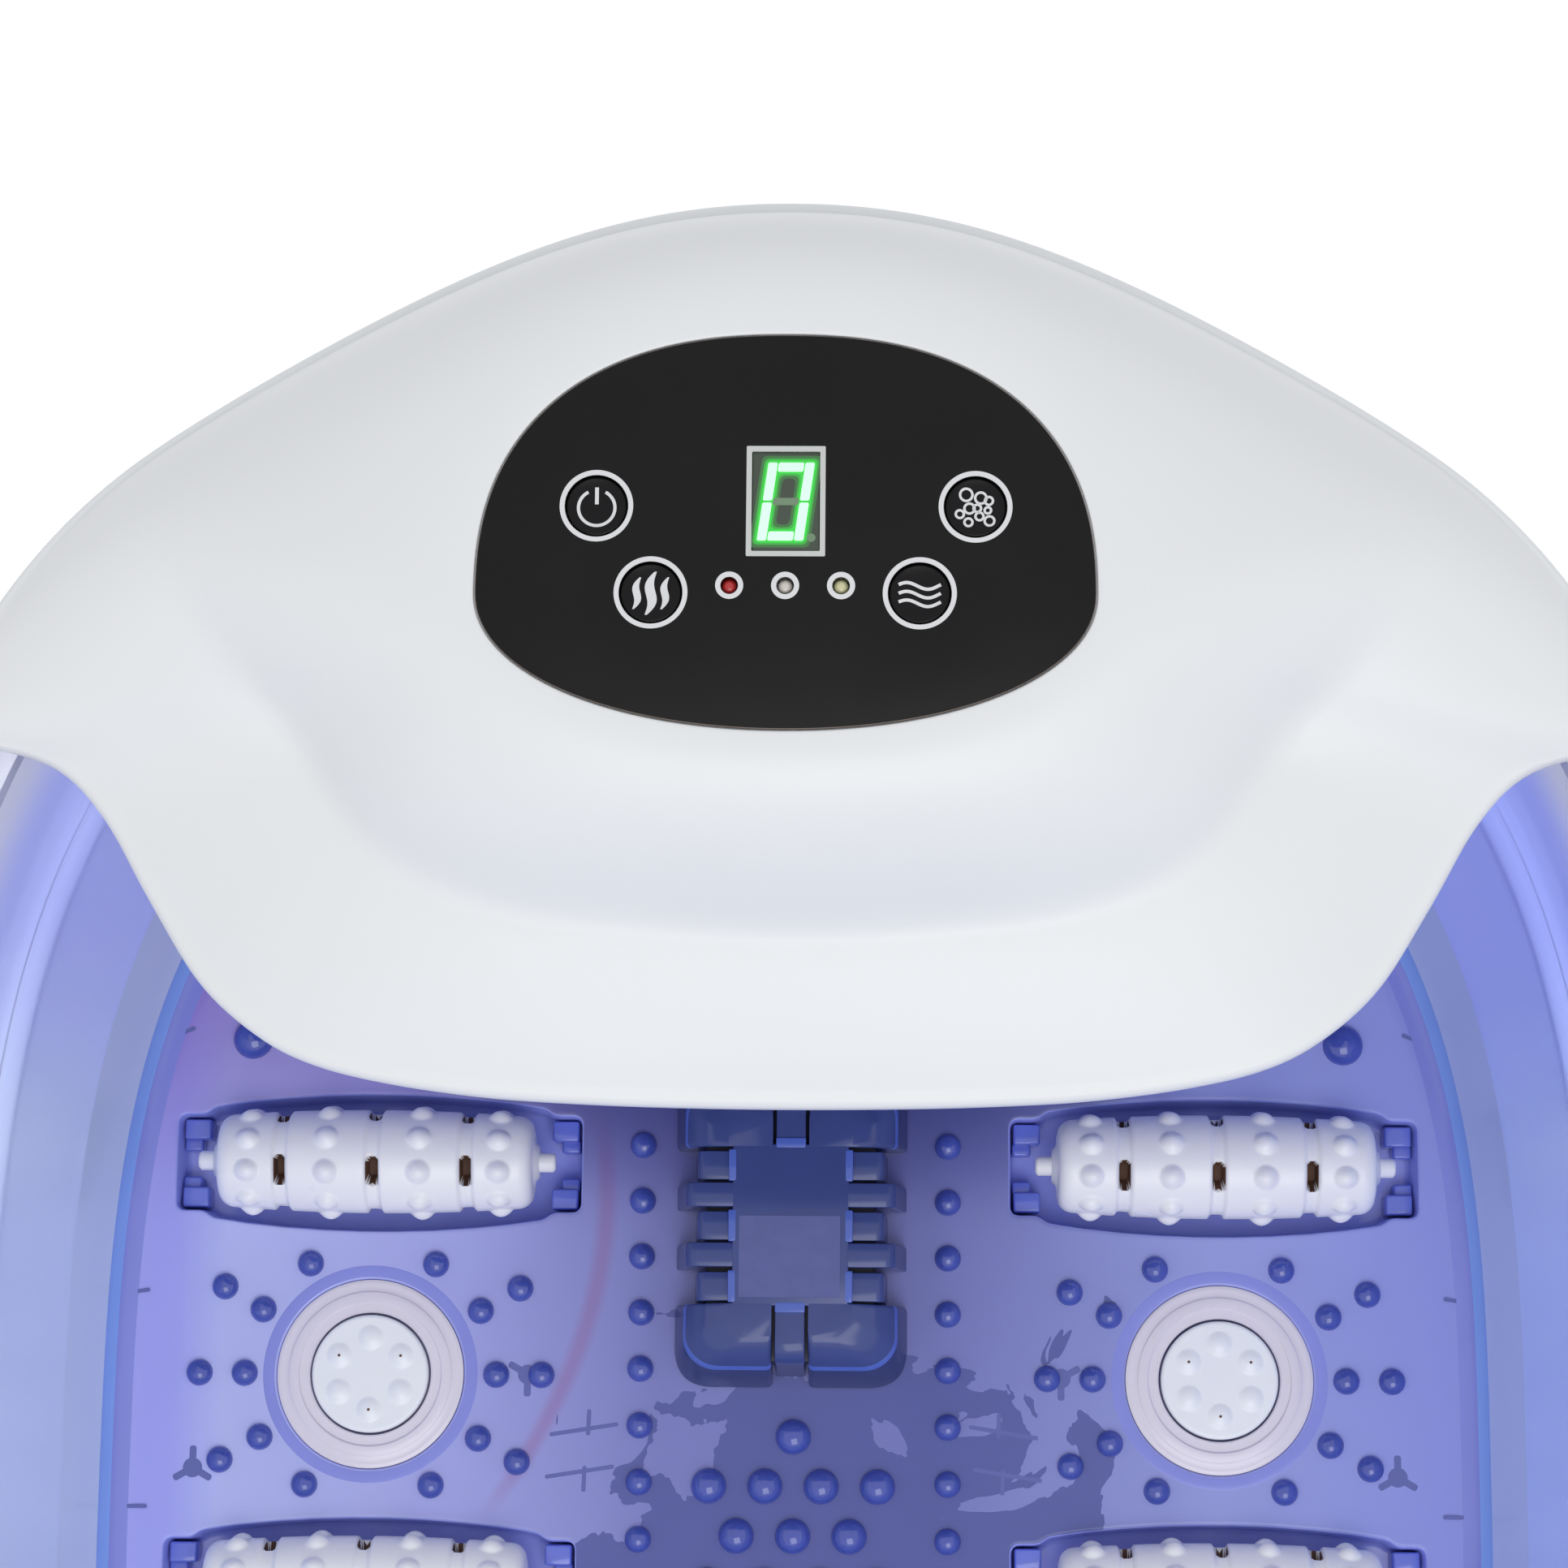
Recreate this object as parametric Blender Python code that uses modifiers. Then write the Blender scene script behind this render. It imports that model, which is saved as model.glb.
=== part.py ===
# Foot spa bath: a translucent basin on a white base, with a white control console over its far end.
# Metres, +Z up, X to the right, +Y towards the console. The origin is on the ground, below the
# middle of the outline. The basin has its own frame, whose Y is zero on its widest line.

import math

import bmesh
import bpy
from mathutils import Matrix, Vector
from mathutils.geometry import intersect_point_line

# Clearances and cuts
GAP = 0.0003
FIT_GAP = 0.0006
RUNNING_GAP = 0.0008
OVERRUN = 0.002
MERGE_DISTANCE = GAP / 10
WELD_DISTANCE = GAP / 100
ROUND_SIDES = 12

# Outline shared by base, basin and cover
OUTLINE_POWER = 3.0
OUTLINE_SEGMENTS = 48
WING_SEGMENT = 4

# Basin
FLOOR_HEIGHT = 0.047
BASIN_DEPTH = 0.105
RIM_HEIGHT = FLOOR_HEIGHT + BASIN_DEPTH
BASIN_WALL = 0.0026
RIM_HALF_WIDTH = 0.182
RIM_FRONT_LENGTH = 0.217
RIM_REAR_LENGTH = 0.187
SIDE_INSET = 0.0347
FRONT_INSET = 0.045
REAR_INSET = 0.032
FLOOR_HALF_WIDTH = RIM_HALF_WIDTH - SIDE_INSET
FLOOR_FRONT_LENGTH = RIM_FRONT_LENGTH - FRONT_INSET
FLOOR_REAR_LENGTH = RIM_REAR_LENGTH - REAR_INSET
FLOOR_FILLET = 0.006
UNDER_FLOOR = FLOOR_HEIGHT - BASIN_WALL
RIM_FLANGE = 0.0125
RIM_ROUND = 0.003
RIM_DROP = 0.012

# Base pan and feet
FOOT_HEIGHT = 0.004
FOOT_RADIUS = 0.009
FOOT_X_SHARE = 0.6
FOOT_Y_SHARE = 0.7
PAN_OVERLAP = 0.013
PAN_TOP = FLOOR_HEIGHT + PAN_OVERLAP
PAN_WALL = 0.0026
PAN_FLOOR = FOOT_HEIGHT + PAN_WALL
PAN_TAPER = 0.007
PAN_FILLET = 0.009
PAN_SLOPE_SHARE = 1.03

# Screws that hold the basin to the base
# as shares of the floor's half width and of its front or rear length
BASE_SCREW_SHARES = (
    (0.8798, -0.0026),
    (0.3910, 0.1163),
    (0.5092, 0.8023),
    (0.5092, -0.7613),
)
SCREW_RADIUS = 0.0015
SCREW_HEAD_RADIUS = 0.0027
SCREW_HEAD_HEIGHT = 0.0022
SCREW_SIDES = 8
BASE_SCREW_LENGTH = 0.022
POST_RADIUS = 0.0048
POST_FLOOR = 0.0022
BOSS_RADIUS = 0.0036
BOSS_LENGTH = 0.0200
POST_TOP = UNDER_FLOOR - BOSS_LENGTH - GAP
FIN_REACH = 0.0085
FIN_THICKNESS = 0.0012
FIN_ANGLES = (90, 210, 330)

# Massage rollers and their pockets, between the middle aisle and the floor's edge
AISLE_HALF_WIDTH = 0.0467
POCKET_MARGIN = 0.0120
POCKET_OUTER_X = FLOOR_HALF_WIDTH - POCKET_MARGIN
ROLLER_X = (AISLE_HALF_WIDTH + POCKET_OUTER_X) / 2
ROLLER_FRONT_Y = 0.0655
ROLLER_REAR_Y = -0.0257
ROLLER_AXIS_RISE = 0.0030
ROLLER_AXIS_HEIGHT = FLOOR_HEIGHT + ROLLER_AXIS_RISE
END_POCKET_SPAN = POCKET_OUTER_X - AISLE_HALF_WIDTH
END_POCKET_REACH = 0.00745
END_POCKET_WIDTH = 0.0209
END_POCKET_DEPTH = 0.0080
POCKET_LENGTH = END_POCKET_SPAN - END_POCKET_REACH * 2
POCKET_WIDTH = 0.0297
POCKET_END_WIDTH = 0.0240
POCKET_DEPTH = 0.0120
AXLE_END_GAP = 0.0053
AXLE_REACH = 0.00475
AXLE_RADIUS = 0.0021
ROLLER_SPAN = END_POCKET_SPAN - AXLE_END_GAP * 2
ROLLER_LENGTH = ROLLER_SPAN - AXLE_REACH * 2
ROLLER_RADIUS = 0.0110
ROLLER_END_RADIUS = 0.0096
ROLLER_ROUND = 0.0025
ROLLER_STEPS = 12
GROOVE_PITCH_SHARE = 0.29343
GROOVE_PITCH = ROLLER_LENGTH * GROOVE_PITCH_SHARE
GROOVE_WIDTH = 0.0026
GROOVE_DEPTH = 0.0018
ROLLER_NUB_RADIUS = 0.0022
ROLLER_NUB_HEIGHT = 0.0010
ROLLER_NUB_COUNT = 9
ROLLER_NUB_COLUMNS = 4
ROLLER_NUB_SIDES = 4
CRADLE_THICKNESS = 0.0030
CRADLE_WIDTH = 0.0170
CRADLE_RISE = 0.0010

# Bubble discs
DISC_X = ROLLER_X + 0.0007
DISC_RADIUS = 0.0126
DISC_RISE = 0.0010
DISC_DOME_RADIUS = 0.0027
DISC_DOME_HEIGHT = 0.0007
DISC_DOME_CIRCLE = 0.0077
DISC_DOME_COUNT = 6
DISC_PINHOLE_RADIUS = 0.0004
RING_RADIUS = 0.0197
RING_STEP_RADIUS = 0.0176
RING_STEP_HEIGHT = 0.0005
DISC_STEPS = 20
SOCKET_DEPTH = 0.0034
SOCKET_FLOOR = 0.0020
SOCKET_COLLAR_RADIUS = 0.0232
NOZZLE_RADIUS = 0.0032
NOZZLE_BORE_RADIUS = 0.0016
NOZZLE_LENGTH = 0.0060

# Nubs on the basin floor
NUB_RADIUS = 0.0029
NUB_HEIGHT = 0.0024
LARGE_NUB_RADIUS = 0.0044
CLUSTER_NUB_RADIUS = 0.0038
NUB_TOP_SHARE = 0.5
NUB_SIDES = 5
NUB_SINK = 0.0010
NUB_CIRCLE = 0.0273
NUB_OUTER_CIRCLE = 0.0371
NUB_ANGLES = (0, 30, 60, 120, 150, 180, 210, 240, 300, 330)
NUB_OUTER_ANGLES = (0, 30, 150, 180, 210, 330)
NUB_COLUMN_X = 0.0332
NUB_COLUMN_Y = 0.0697
NUB_COLUMN_PITCH = 0.01207
NUB_COLUMN_COUNT = 10
LARGE_NUB_INSET = 0.0278
LARGE_NUB_X = FLOOR_HALF_WIDTH - LARGE_NUB_INSET
LARGE_NUB_Y = 0.0925
CLUSTER_Y = 0.0071
CLUSTER_PITCH_X = 0.0121
CLUSTER_PITCH_Y = 0.0105
CLUSTER_ROWS = (1, 4, 3, 4, 1)

# Ribs under the floor that guide the leads
RIB_X = 0.0455
RIB_Y = 0.0039
RIB_SPACING = 0.0092
RIB_LENGTH = 0.0170
RIB_STEM = 0.0060
RIB_THICKNESS = 0.0012
RIB_HEIGHT = 0.0030

# Guard over the heater
GUARD_Y = 0.0517
GUARD_HALF_WIDTH = 0.0227
GUARD_HALF_LENGTH = 0.0312
GUARD_HEIGHT = 0.0150
GUARD_WALL = 0.0022
GUARD_END_LENGTH = 0.0125
GUARD_INSET = 0.0032
GUARD_TOP_BEVEL = 0.0035
GUARD_CORNER = 0.0055
LUG_LENGTH = 0.0048
LUG_SPACING = 0.0128
GUARD_SLOT = 0.0008
GUARD_SLOT_REACH = 0.0090
TONGUE_HALF_WIDTH = 0.0031
TONGUE_LENGTH = 0.0115

# Heater
HEATER_HALF_WIDTH = 0.0150
HEATER_HALF_LENGTH = 0.0200
HEATER_LIP = 0.0055
GASKET_THICKNESS = 0.0012
HEATER_THICKNESS = 0.0015
HEATER_PAD_RISE = 0.0020
CLAMP_THICKNESS = 0.0025
CLAMP_RAIL = 0.0060
CLAMP_POST_RADIUS = 0.0030
THERMOSTAT_RADIUS = 0.0070
THERMOSTAT_HEIGHT = 0.0080

# Air pump and hoses
PUMP_INSET = 0.0730
PUMP_Y = PUMP_INSET - FLOOR_REAR_LENGTH
PUMP_HALF_WIDTH = 0.0400
PUMP_HALF_LENGTH = 0.0240
PUMP_HEADROOM = 0.0078
PUMP_HEIGHT = UNDER_FLOOR - PAN_FLOOR - PUMP_HEADROOM
PUMP_BEVEL = 0.0040
PUMP_PORT_X = 0.0260
PUMP_PORT_RADIUS = 0.0022
PUMP_PORT_LENGTH = 0.0060
HOSE_RADIUS = 0.0026
HOSE_POINTS = 12
# Each hose's way from its port to its nozzle, as shares of the way across, along and up
HOSE_SHARES = (
    (0.0, 0.0, 0.0),
    (0.0, 0.125, 0.0),
    (0.2, 0.5, 0.0),
    (0.667, 0.917, 0.0),
    (0.889, 1.0, 0.125),
    (1.0, 1.0, 0.6),
    (1.0, 1.0, 1.0),
)

# Vibration motor
MOTOR_Y = 0.0050
MOTOR_RADIUS = 0.0100
MOTOR_LENGTH = 0.0300
MOTOR_SIDES = 16
MOTOR_RISE = 0.0188
MOTOR_HEIGHT = PAN_FLOOR + MOTOR_RISE
MOTOR_SHAFT_RADIUS = 0.0012
MOTOR_SHAFT_REACH = 0.0150
MOTOR_SHAFT_SEAT = 0.0030
BRACKET_LENGTH = 0.0160
BRACKET_HALF_WIDTH = 0.0135
WEIGHT_RADIUS = 0.0085
WEIGHT_THICKNESS = 0.0080
WEIGHT_HUB_RADIUS = 0.0032
WEIGHT_STANDOFF = 0.0030

# Power board in the base
BOARD_THICKNESS = 0.0016
POWER_BOARD_X = 0.0400
POWER_BOARD_INSET = 0.0640
POWER_BOARD_Y = FLOOR_FRONT_LENGTH - POWER_BOARD_INSET
POWER_BOARD_WIDTH = 0.0500
POWER_BOARD_LENGTH = 0.0320
POWER_POST_HEIGHT = 0.0050
TRANSFORMER_SIZE = 0.0180
CAPACITOR_RADIUS = 0.0040
CAPACITOR_HEIGHT = 0.0120

# Cover
COVER_WALL = 0.0026
LIP_FALL = 0.0020
LIP_HEIGHT = RIM_HEIGHT - LIP_FALL
LIP_DROP = 0.0030
EDGE_RISE = 0.0045
EDGE_HEIGHT = RIM_HEIGHT + EDGE_RISE
BRIM_RISE = 0.0075
BRIM_HEIGHT = EDGE_HEIGHT + BRIM_RISE
BRIM_POWER = 1.4
WING_START_SHARE = 0.6
WING_SHARE = 0.84
NOSE_LENGTH = 0.0215
NOSE_HALF_WIDTH = 0.1250
NOSE_SEGMENTS = 3
CREASE_FALL = 0.0010
CREASE_HEIGHT = BRIM_HEIGHT - CREASE_FALL
CREASE_BLEND = 0.0050
DOME_RISE = 0.0320
DOME_RING_SHARES = (0.25, 0.5, 0.75, 1.0)
BRIM_RING_SHARES = (0.25, 0.5, 0.75)
FOOT_SHARE_LIMIT = 0.8
# Degrees from the panel's widest line: where the crease ends, and where the bulge changes
CREASE_START = -16
CREASE_FADE = 30
BULGE_START = 5
BULGE_FADE = 70
SIDE_BULGE_POWER = 1.5
BACK_BULGE_POWER = 2.3
# Lip from the middle to the wing's end, as shares of the cover's half width and front length
LIP_SHARES = (
    (0.0, 0.3064),
    (0.1081, 0.3073),
    (0.2108, 0.3100),
    (0.3135, 0.3155),
    (0.4162, 0.3273),
    (0.4973, 0.3441),
    (0.5568, 0.3700),
    (0.6162, 0.4150),
    (0.6703, 0.4864),
    (0.7189, 0.5573),
    (0.7676, 0.6000),
    (0.8324, 0.6186),
)
# Foot of the console's dome, as shares of the same two sizes
DOME_FOOT_SHARES = (
    (0.0, 0.4495),
    (0.1730, 0.4573),
    (0.3108, 0.4745),
    (0.4373, 0.5241),
    (0.5238, 0.6318),
    (0.6200, 0.7336),
    (0.6595, 0.7850),
    (0.6270, 0.8650),
    (0.4900, 0.9550),
    (0.3900, 1.0400),
    (0.3400, 1.1500),
)

# Control panel on the dome
PANEL_HEIGHT = CREASE_HEIGHT + DOME_RISE
PANEL_INSET = 0.0585
PANEL_Y = RIM_FRONT_LENGTH - PANEL_INSET
PANEL_HALF_WIDTH = 0.0575
PANEL_TOP_REACH = 0.0495
PANEL_BOTTOM_REACH = 0.0257
PANEL_TOP_POWER = 2.37
PANEL_BOTTOM_POWER = 2.08
PANEL_MARGIN = 0.0025
OVERLAY_THICKNESS = 0.0008
BUTTON_RADIUS = 0.0056
BUTTON_RECESS = 0.0005
BUTTON_FLANGE_RADIUS = 0.0068
BUTTON_FLANGE = 0.0010
BUTTON_STEM_RADIUS = 0.0015
BUTTON_TRAVEL = 0.0006
BUTTON_STEPS = 16
UPPER_BUTTON_X = 0.0352
UPPER_BUTTON_RISE = 0.0165
LOWER_BUTTON_X = 0.0249
DISPLAY_RISE = 0.0175
DISPLAY_Y = PANEL_Y + DISPLAY_RISE
DISPLAY_WIDTH = 0.0126
DISPLAY_LENGTH = 0.0190
DISPLAY_RECESS = 0.0004
LED_RISE = 0.0014
LED_Y = PANEL_Y + LED_RISE
LED_PITCH = 0.01035
LED_RADIUS = 0.0015
LED_COLLAR_RADIUS = 0.0022
LED_RECESS = 0.0004
LED_SHOULDER_SHARE = 0.7
LED_STEPS = 8

# Control board below the panel
BOARD_DROP = 0.0110
BOARD_HALF_WIDTH = 0.0450
BOARD_FRONT_REACH = 0.0170
BOARD_BACK_REACH = 0.0360
BOARD_BOSS_X = 0.0410
BOARD_BOSS_RISE = 0.0055
BOARD_BOSS_RADIUS = 0.0030
SWITCH_SIZE = 0.0064
SWITCH_HEIGHT = 0.0040
SWITCH_WELL_DEPTH = 0.0026
BOARD_SCREW_LENGTH = 0.0080

# Tray that closes the console from below
TRAY_WALL = 0.0020
TRAY_GAP = 0.0008
TRAY_RING_SHARES = (0.2, 0.4, 0.62)
LEAD_NOTCH_INSET = 0.0110

# Screws that hold the cover to the basin rim
COVER_SCREW_ANGLE = 45.0
COVER_SCREW_LENGTH = 0.0090
COVER_BOSS_RADIUS = 0.0030

# Duct that carries the leads from the console to the base
DUCT_BOTTOM = 0.0140
DUCT_TOP_HALF_WIDTH = 0.0620
DUCT_BOTTOM_HALF_WIDTH = 0.0400
DUCT_TOP_DEPTH = 0.0420
DUCT_BOTTOM_DEPTH = 0.0300
DUCT_TOP_INSET = 0.0030
DUCT_FLARE = 0.0440
DUCT_WALL = 0.0024
DUCT_SIDES = 20
LEAD_RADIUS = 0.0022
LEAD_SLOT_HALF_WIDTH = 0.0060
LEAD_SLOT_DROP = 0.0200
LEAD_SLOT_HEIGHT = 0.0160
LEAD_SLOT_TOP = PAN_TOP - LEAD_SLOT_DROP
LEAD_SLOT_BOTTOM = LEAD_SLOT_TOP - LEAD_SLOT_HEIGHT
LEAD_POINTS = 26

# Cord inlet
GLAND_X = 0.0750
GLAND_DROP = 0.0320
GLAND_HEIGHT = PAN_TOP - GLAND_DROP
GLAND_RADIUS = 0.0050
GLAND_FLANGE_RADIUS = 0.0075
GLAND_FLANGE = 0.0022
GLAND_BORE_RADIUS = 0.0030
GLAND_STEPS = 12

# Colour, roughness, metallic value and alpha of each material
MATERIALS = {
    "white_plastic": ((0.80, 0.82, 0.84), 0.25, 0.0, 1.0),
    "blue_plastic": ((0.22, 0.27, 0.72), 0.15, 0.0, 0.75),
    "deep_blue_plastic": ((0.05, 0.10, 0.42), 0.2, 0.0, 1.0),
    "clear_plastic": ((0.62, 0.62, 0.76), 0.15, 0.0, 1.0),
    "black_plastic": ((0.02, 0.02, 0.02), 0.3, 0.0, 1.0),
    "grey_plastic": ((0.35, 0.36, 0.38), 0.5, 0.0, 1.0),
    "rubber": ((0.05, 0.05, 0.055), 0.8, 0.0, 1.0),
    "board": ((0.02, 0.16, 0.07), 0.5, 0.0, 1.0),
    "steel": ((0.6, 0.6, 0.6), 0.35, 1.0, 1.0),
    "brass": ((0.7, 0.5, 0.2), 0.4, 1.0, 1.0),
    "display": ((0.08, 0.12, 0.08), 0.3, 0.0, 1.0),
    "lamp_red": ((0.5, 0.03, 0.03), 0.2, 0.0, 1.0),
    "lamp_clear": ((0.7, 0.65, 0.6), 0.2, 0.0, 1.0),
    "lamp_yellow": ((0.7, 0.68, 0.4), 0.2, 0.0, 1.0),
}

# Values that follow from the ones above
NOSE_Y = RIM_FRONT_LENGTH + COVER_WALL + FIT_GAP + NOSE_LENGTH
BASIN_Y = (RIM_REAR_LENGTH - NOSE_Y) / 2
COVER_HALF_WIDTH = RIM_HALF_WIDTH + COVER_WALL + FIT_GAP
COVER_FRONT_LENGTH = RIM_FRONT_LENGTH + COVER_WALL + FIT_GAP
DISC_Y = (ROLLER_FRONT_Y + ROLLER_REAR_Y) / 2
UNDER_PANEL = PANEL_HEIGHT - COVER_WALL
OVERLAY_FLOOR = PANEL_HEIGHT - OVERLAY_THICKNESS - GAP
BOARD_TOP = PANEL_HEIGHT - BOARD_DROP

PARTS = "foot_spa_bath"
CUTTERS = "cutters"


def clear_scene():
    for old in list(bpy.data.objects):
        bpy.data.objects.remove(old, do_unlink=True)


def make_collection(name):
    collection = bpy.data.collections.new(name)
    bpy.context.scene.collection.children.link(collection)
    return collection


def make_material(name, colour, roughness, metallic, alpha):
    material = bpy.data.materials.new(name)
    material.use_nodes = True
    shader = material.node_tree.nodes["Principled BSDF"]
    shader.inputs["Base Color"].default_value = (*colour, 1.0)
    shader.inputs["Roughness"].default_value = roughness
    shader.inputs["Metallic"].default_value = metallic
    shader.inputs["Alpha"].default_value = alpha
    return material


def place(obj, collection, frame, material=None):
    """Put an object in a collection, in the basin's frame, with its material."""
    bpy.data.collections[collection].objects.link(obj)
    obj.parent = frame
    if material:
        obj.data.materials.append(material)
    return obj


def part(name, mesh, material, location=(0, 0, 0), rotation=(0, 0, 0)):
    obj = bpy.data.objects.new(name, mesh)
    obj.location = location
    obj.rotation_euler = rotation
    return place(obj, PARTS, FRAME, material)


def cutter(name, mesh, location=(0, 0, 0), rotation=(0, 0, 0)):
    obj = bpy.data.objects.new(name, mesh)
    obj.location = location
    obj.rotation_euler = rotation
    obj.hide_render = True
    obj.display_type = "WIRE"
    return place(obj, CUTTERS, FRAME)


def finish_mesh(name, work):
    mesh = bpy.data.meshes.new(name)
    work.to_mesh(mesh)
    work.free()
    return mesh


def box_mesh(name, width, length, height, centre=(0, 0, 0), bevel=0.0):
    work = bmesh.new()
    bmesh.ops.create_cube(work, size=1.0)
    bmesh.ops.scale(work, vec=(width, length, height), verts=work.verts)
    if bevel:
        bmesh.ops.bevel(work, geom=work.edges[:], offset=bevel, segments=1, affect="EDGES")
    bmesh.ops.translate(work, vec=centre, verts=work.verts)
    return finish_mesh(name, work)


def span_mesh(name, low, high):
    """A box between two corners."""
    size = [b - a for a, b in zip(low, high)]
    centre = [(a + b) / 2 for a, b in zip(low, high)]
    return box_mesh(name, *size, centre=centre)


def add_cone(work, radius, top_radius, depth, sides, matrix):
    bmesh.ops.create_cone(work, cap_ends=True, segments=sides, radius1=radius,
                          radius2=top_radius, depth=depth, matrix=matrix)


def cylinder_mesh(name, radius, bottom, top, sides=ROUND_SIDES, centre=(0, 0)):
    work = bmesh.new()
    middle = Matrix.Translation((*centre, (bottom + top) / 2))
    add_cone(work, radius, radius, top - bottom, sides, middle)
    return finish_mesh(name, work)


def joined_mesh(name, meshes):
    """Several closed shapes in one mesh, for one Boolean."""
    work = bmesh.new()
    for mesh in meshes:
        work.from_mesh(mesh)
    return finish_mesh(name, work)


def profile_mesh(name, points, closed=False):
    """A line of (radius, height) points for a Screw modifier."""
    work = bmesh.new()
    verts = [work.verts.new((radius, 0, height)) for radius, height in points]
    for first, second in zip(verts, verts[1:]):
        work.edges.new((first, second))
    if closed:
        work.edges.new((verts[-1], verts[0]))
    return finish_mesh(name, work)


def turn(obj, steps):
    screw = obj.modifiers.new("turn", "SCREW")
    screw.steps = steps
    screw.render_steps = steps
    screw.use_merge_vertices = True
    screw.merge_threshold = MERGE_DISTANCE
    return obj


def loft_mesh(name, rings, cap_first=False, cap_last=False):
    """Rings of points of equal count, joined in turn."""
    work = bmesh.new()
    rows = [[work.verts.new(point) for point in ring] for ring in rings]
    count = len(rows[0])
    for lower, upper in zip(rows, rows[1:]):
        for i in range(count):
            j = (i + 1) % count
            work.faces.new((lower[i], lower[j], upper[j], upper[i]))
    if cap_first:
        work.faces.new(list(reversed(rows[0])))
    if cap_last:
        work.faces.new(rows[-1])
    return finish_mesh(name, work)


def prism_mesh(name, outline, bottom, top):
    low = [(x, y, bottom) for x, y in outline]
    high = [(x, y, top) for x, y in outline]
    return loft_mesh(name, (low, high), cap_first=True, cap_last=True)


def solidify(obj, thickness, offset=-1.0):
    shell = obj.modifiers.new("shell", "SOLIDIFY")
    shell.thickness = thickness
    shell.offset = offset
    shell.use_even_offset = True
    return obj


def boolean(obj, tool, operation, self_crossing=False):
    step = obj.modifiers.new(operation.lower(), "BOOLEAN")
    step.operation = operation
    step.object = tool
    step.solver = "EXACT"
    step.use_self = self_crossing
    return obj


def cut(obj, tool):
    return boolean(obj, tool, "DIFFERENCE")


def join(obj, tool, self_crossing=False):
    return boolean(obj, tool, "UNION", self_crossing)


def evaluated_mesh(obj, name):
    """The object's mesh with its modifiers or its curve made solid."""
    bpy.context.view_layer.update()
    graph = bpy.context.evaluated_depsgraph_get()
    mesh = bpy.data.meshes.new_from_object(obj.evaluated_get(graph))
    mesh.name = name
    work = bmesh.new()
    work.from_mesh(mesh)
    bmesh.ops.remove_doubles(work, verts=work.verts, dist=WELD_DISTANCE)
    work.to_mesh(mesh)
    work.free()
    return mesh


def smooth_curve(points, count):
    """Points at equal shares of a smooth curve, whose first and last runs stay straight."""
    first, *guide, last = [Vector(point) for point in points]
    ends = [guide[0] * 2 - guide[1]] + guide + [guide[-1] * 2 - guide[-2]]
    result = []
    for k in range(count):
        place_on = k * (len(guide) - 1) / (count - 1)
        i = min(int(place_on), len(guide) - 2)
        t = place_on - i
        before, start, end, after = ends[i:i + 4]
        point = start * 2 + (end - before) * t
        point = point + (before * 2 - start * 5 + end * 4 - after) * t ** 2
        point = point + (start * 3 - before - end * 3 + after) * t ** 3
        result.append(point / 2)
    return [first] + result + [last]


def tube(name, points, radius, material):
    curve = bpy.data.curves.new(name, "CURVE")
    curve.dimensions = "3D"
    curve.bevel_depth = radius
    curve.bevel_resolution = 2
    curve.use_fill_caps = True
    spline = curve.splines.new("POLY")
    spline.points.add(len(points) - 1)
    for place_on, point in zip(spline.points, points):
        place_on.co = (*point, 1)
    obj = bpy.data.objects.new(name, curve)
    return place(obj, PARTS, FRAME, material)


def signed_power(value, power):
    return math.copysign(abs(value) ** power, value)


def outline(half_width, front, rear, height, segments=OUTLINE_SEGMENTS):
    """The rounded outline, counterclockwise from +X, at a height."""
    ring = []
    for k in range(segments):
        angle = 2 * math.pi * k / segments
        x = half_width * signed_power(math.cos(angle), 2 / OUTLINE_POWER)
        y = signed_power(math.sin(angle), 2 / OUTLINE_POWER)
        ring.append((x, y * (front if y > 0 else rear), height))
    return ring


def outset(sizes, distance):
    return [size + distance for size in sizes]


def wall_sizes(height):
    """Half width, front length and rear length of the basin's inside face at a height."""
    share = (height - FLOOR_HEIGHT) / (RIM_HEIGHT - FLOOR_HEIGHT)
    floor = (FLOOR_HALF_WIDTH, FLOOR_FRONT_LENGTH, FLOOR_REAR_LENGTH)
    rim = outset((RIM_HALF_WIDTH, RIM_FRONT_LENGTH, RIM_REAR_LENGTH), -RIM_FLANGE)
    return [a + share * (b - a) for a, b in zip(floor, rim)]


def basin_rings(outer=0.0):
    """Rings of the basin's surface from the floor to the rim's free edge, or moved out."""
    rim = (RIM_HALF_WIDTH, RIM_FRONT_LENGTH, RIM_REAR_LENGTH)
    fillet_top = FLOOR_HEIGHT + FLOOR_FILLET
    wall_top = RIM_HEIGHT - RIM_ROUND
    rows = (
        (outset(wall_sizes(FLOOR_HEIGHT), -FLOOR_FILLET), FLOOR_HEIGHT),
        (outset(wall_sizes(FLOOR_HEIGHT), -FLOOR_FILLET / 4), FLOOR_HEIGHT + FLOOR_FILLET / 4),
        (wall_sizes(fillet_top), fillet_top),
        (wall_sizes(wall_top), wall_top),
        (outset(wall_sizes(RIM_HEIGHT), RIM_ROUND), RIM_HEIGHT),
        (outset(rim, -RIM_ROUND / 2), RIM_HEIGHT),
        (rim, RIM_HEIGHT - RIM_ROUND / 2),
        (rim, RIM_HEIGHT - RIM_DROP),
    )
    return [outline(*outset(sizes, outer), height) for sizes, height in rows]


def base_screw_places():
    places = []
    for x_share, y_share in BASE_SCREW_SHARES:
        length = FLOOR_FRONT_LENGTH if y_share > 0 else FLOOR_REAR_LENGTH
        for side in (1, -1):
            places.append((side * x_share * FLOOR_HALF_WIDTH, y_share * length))
    return places


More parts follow.
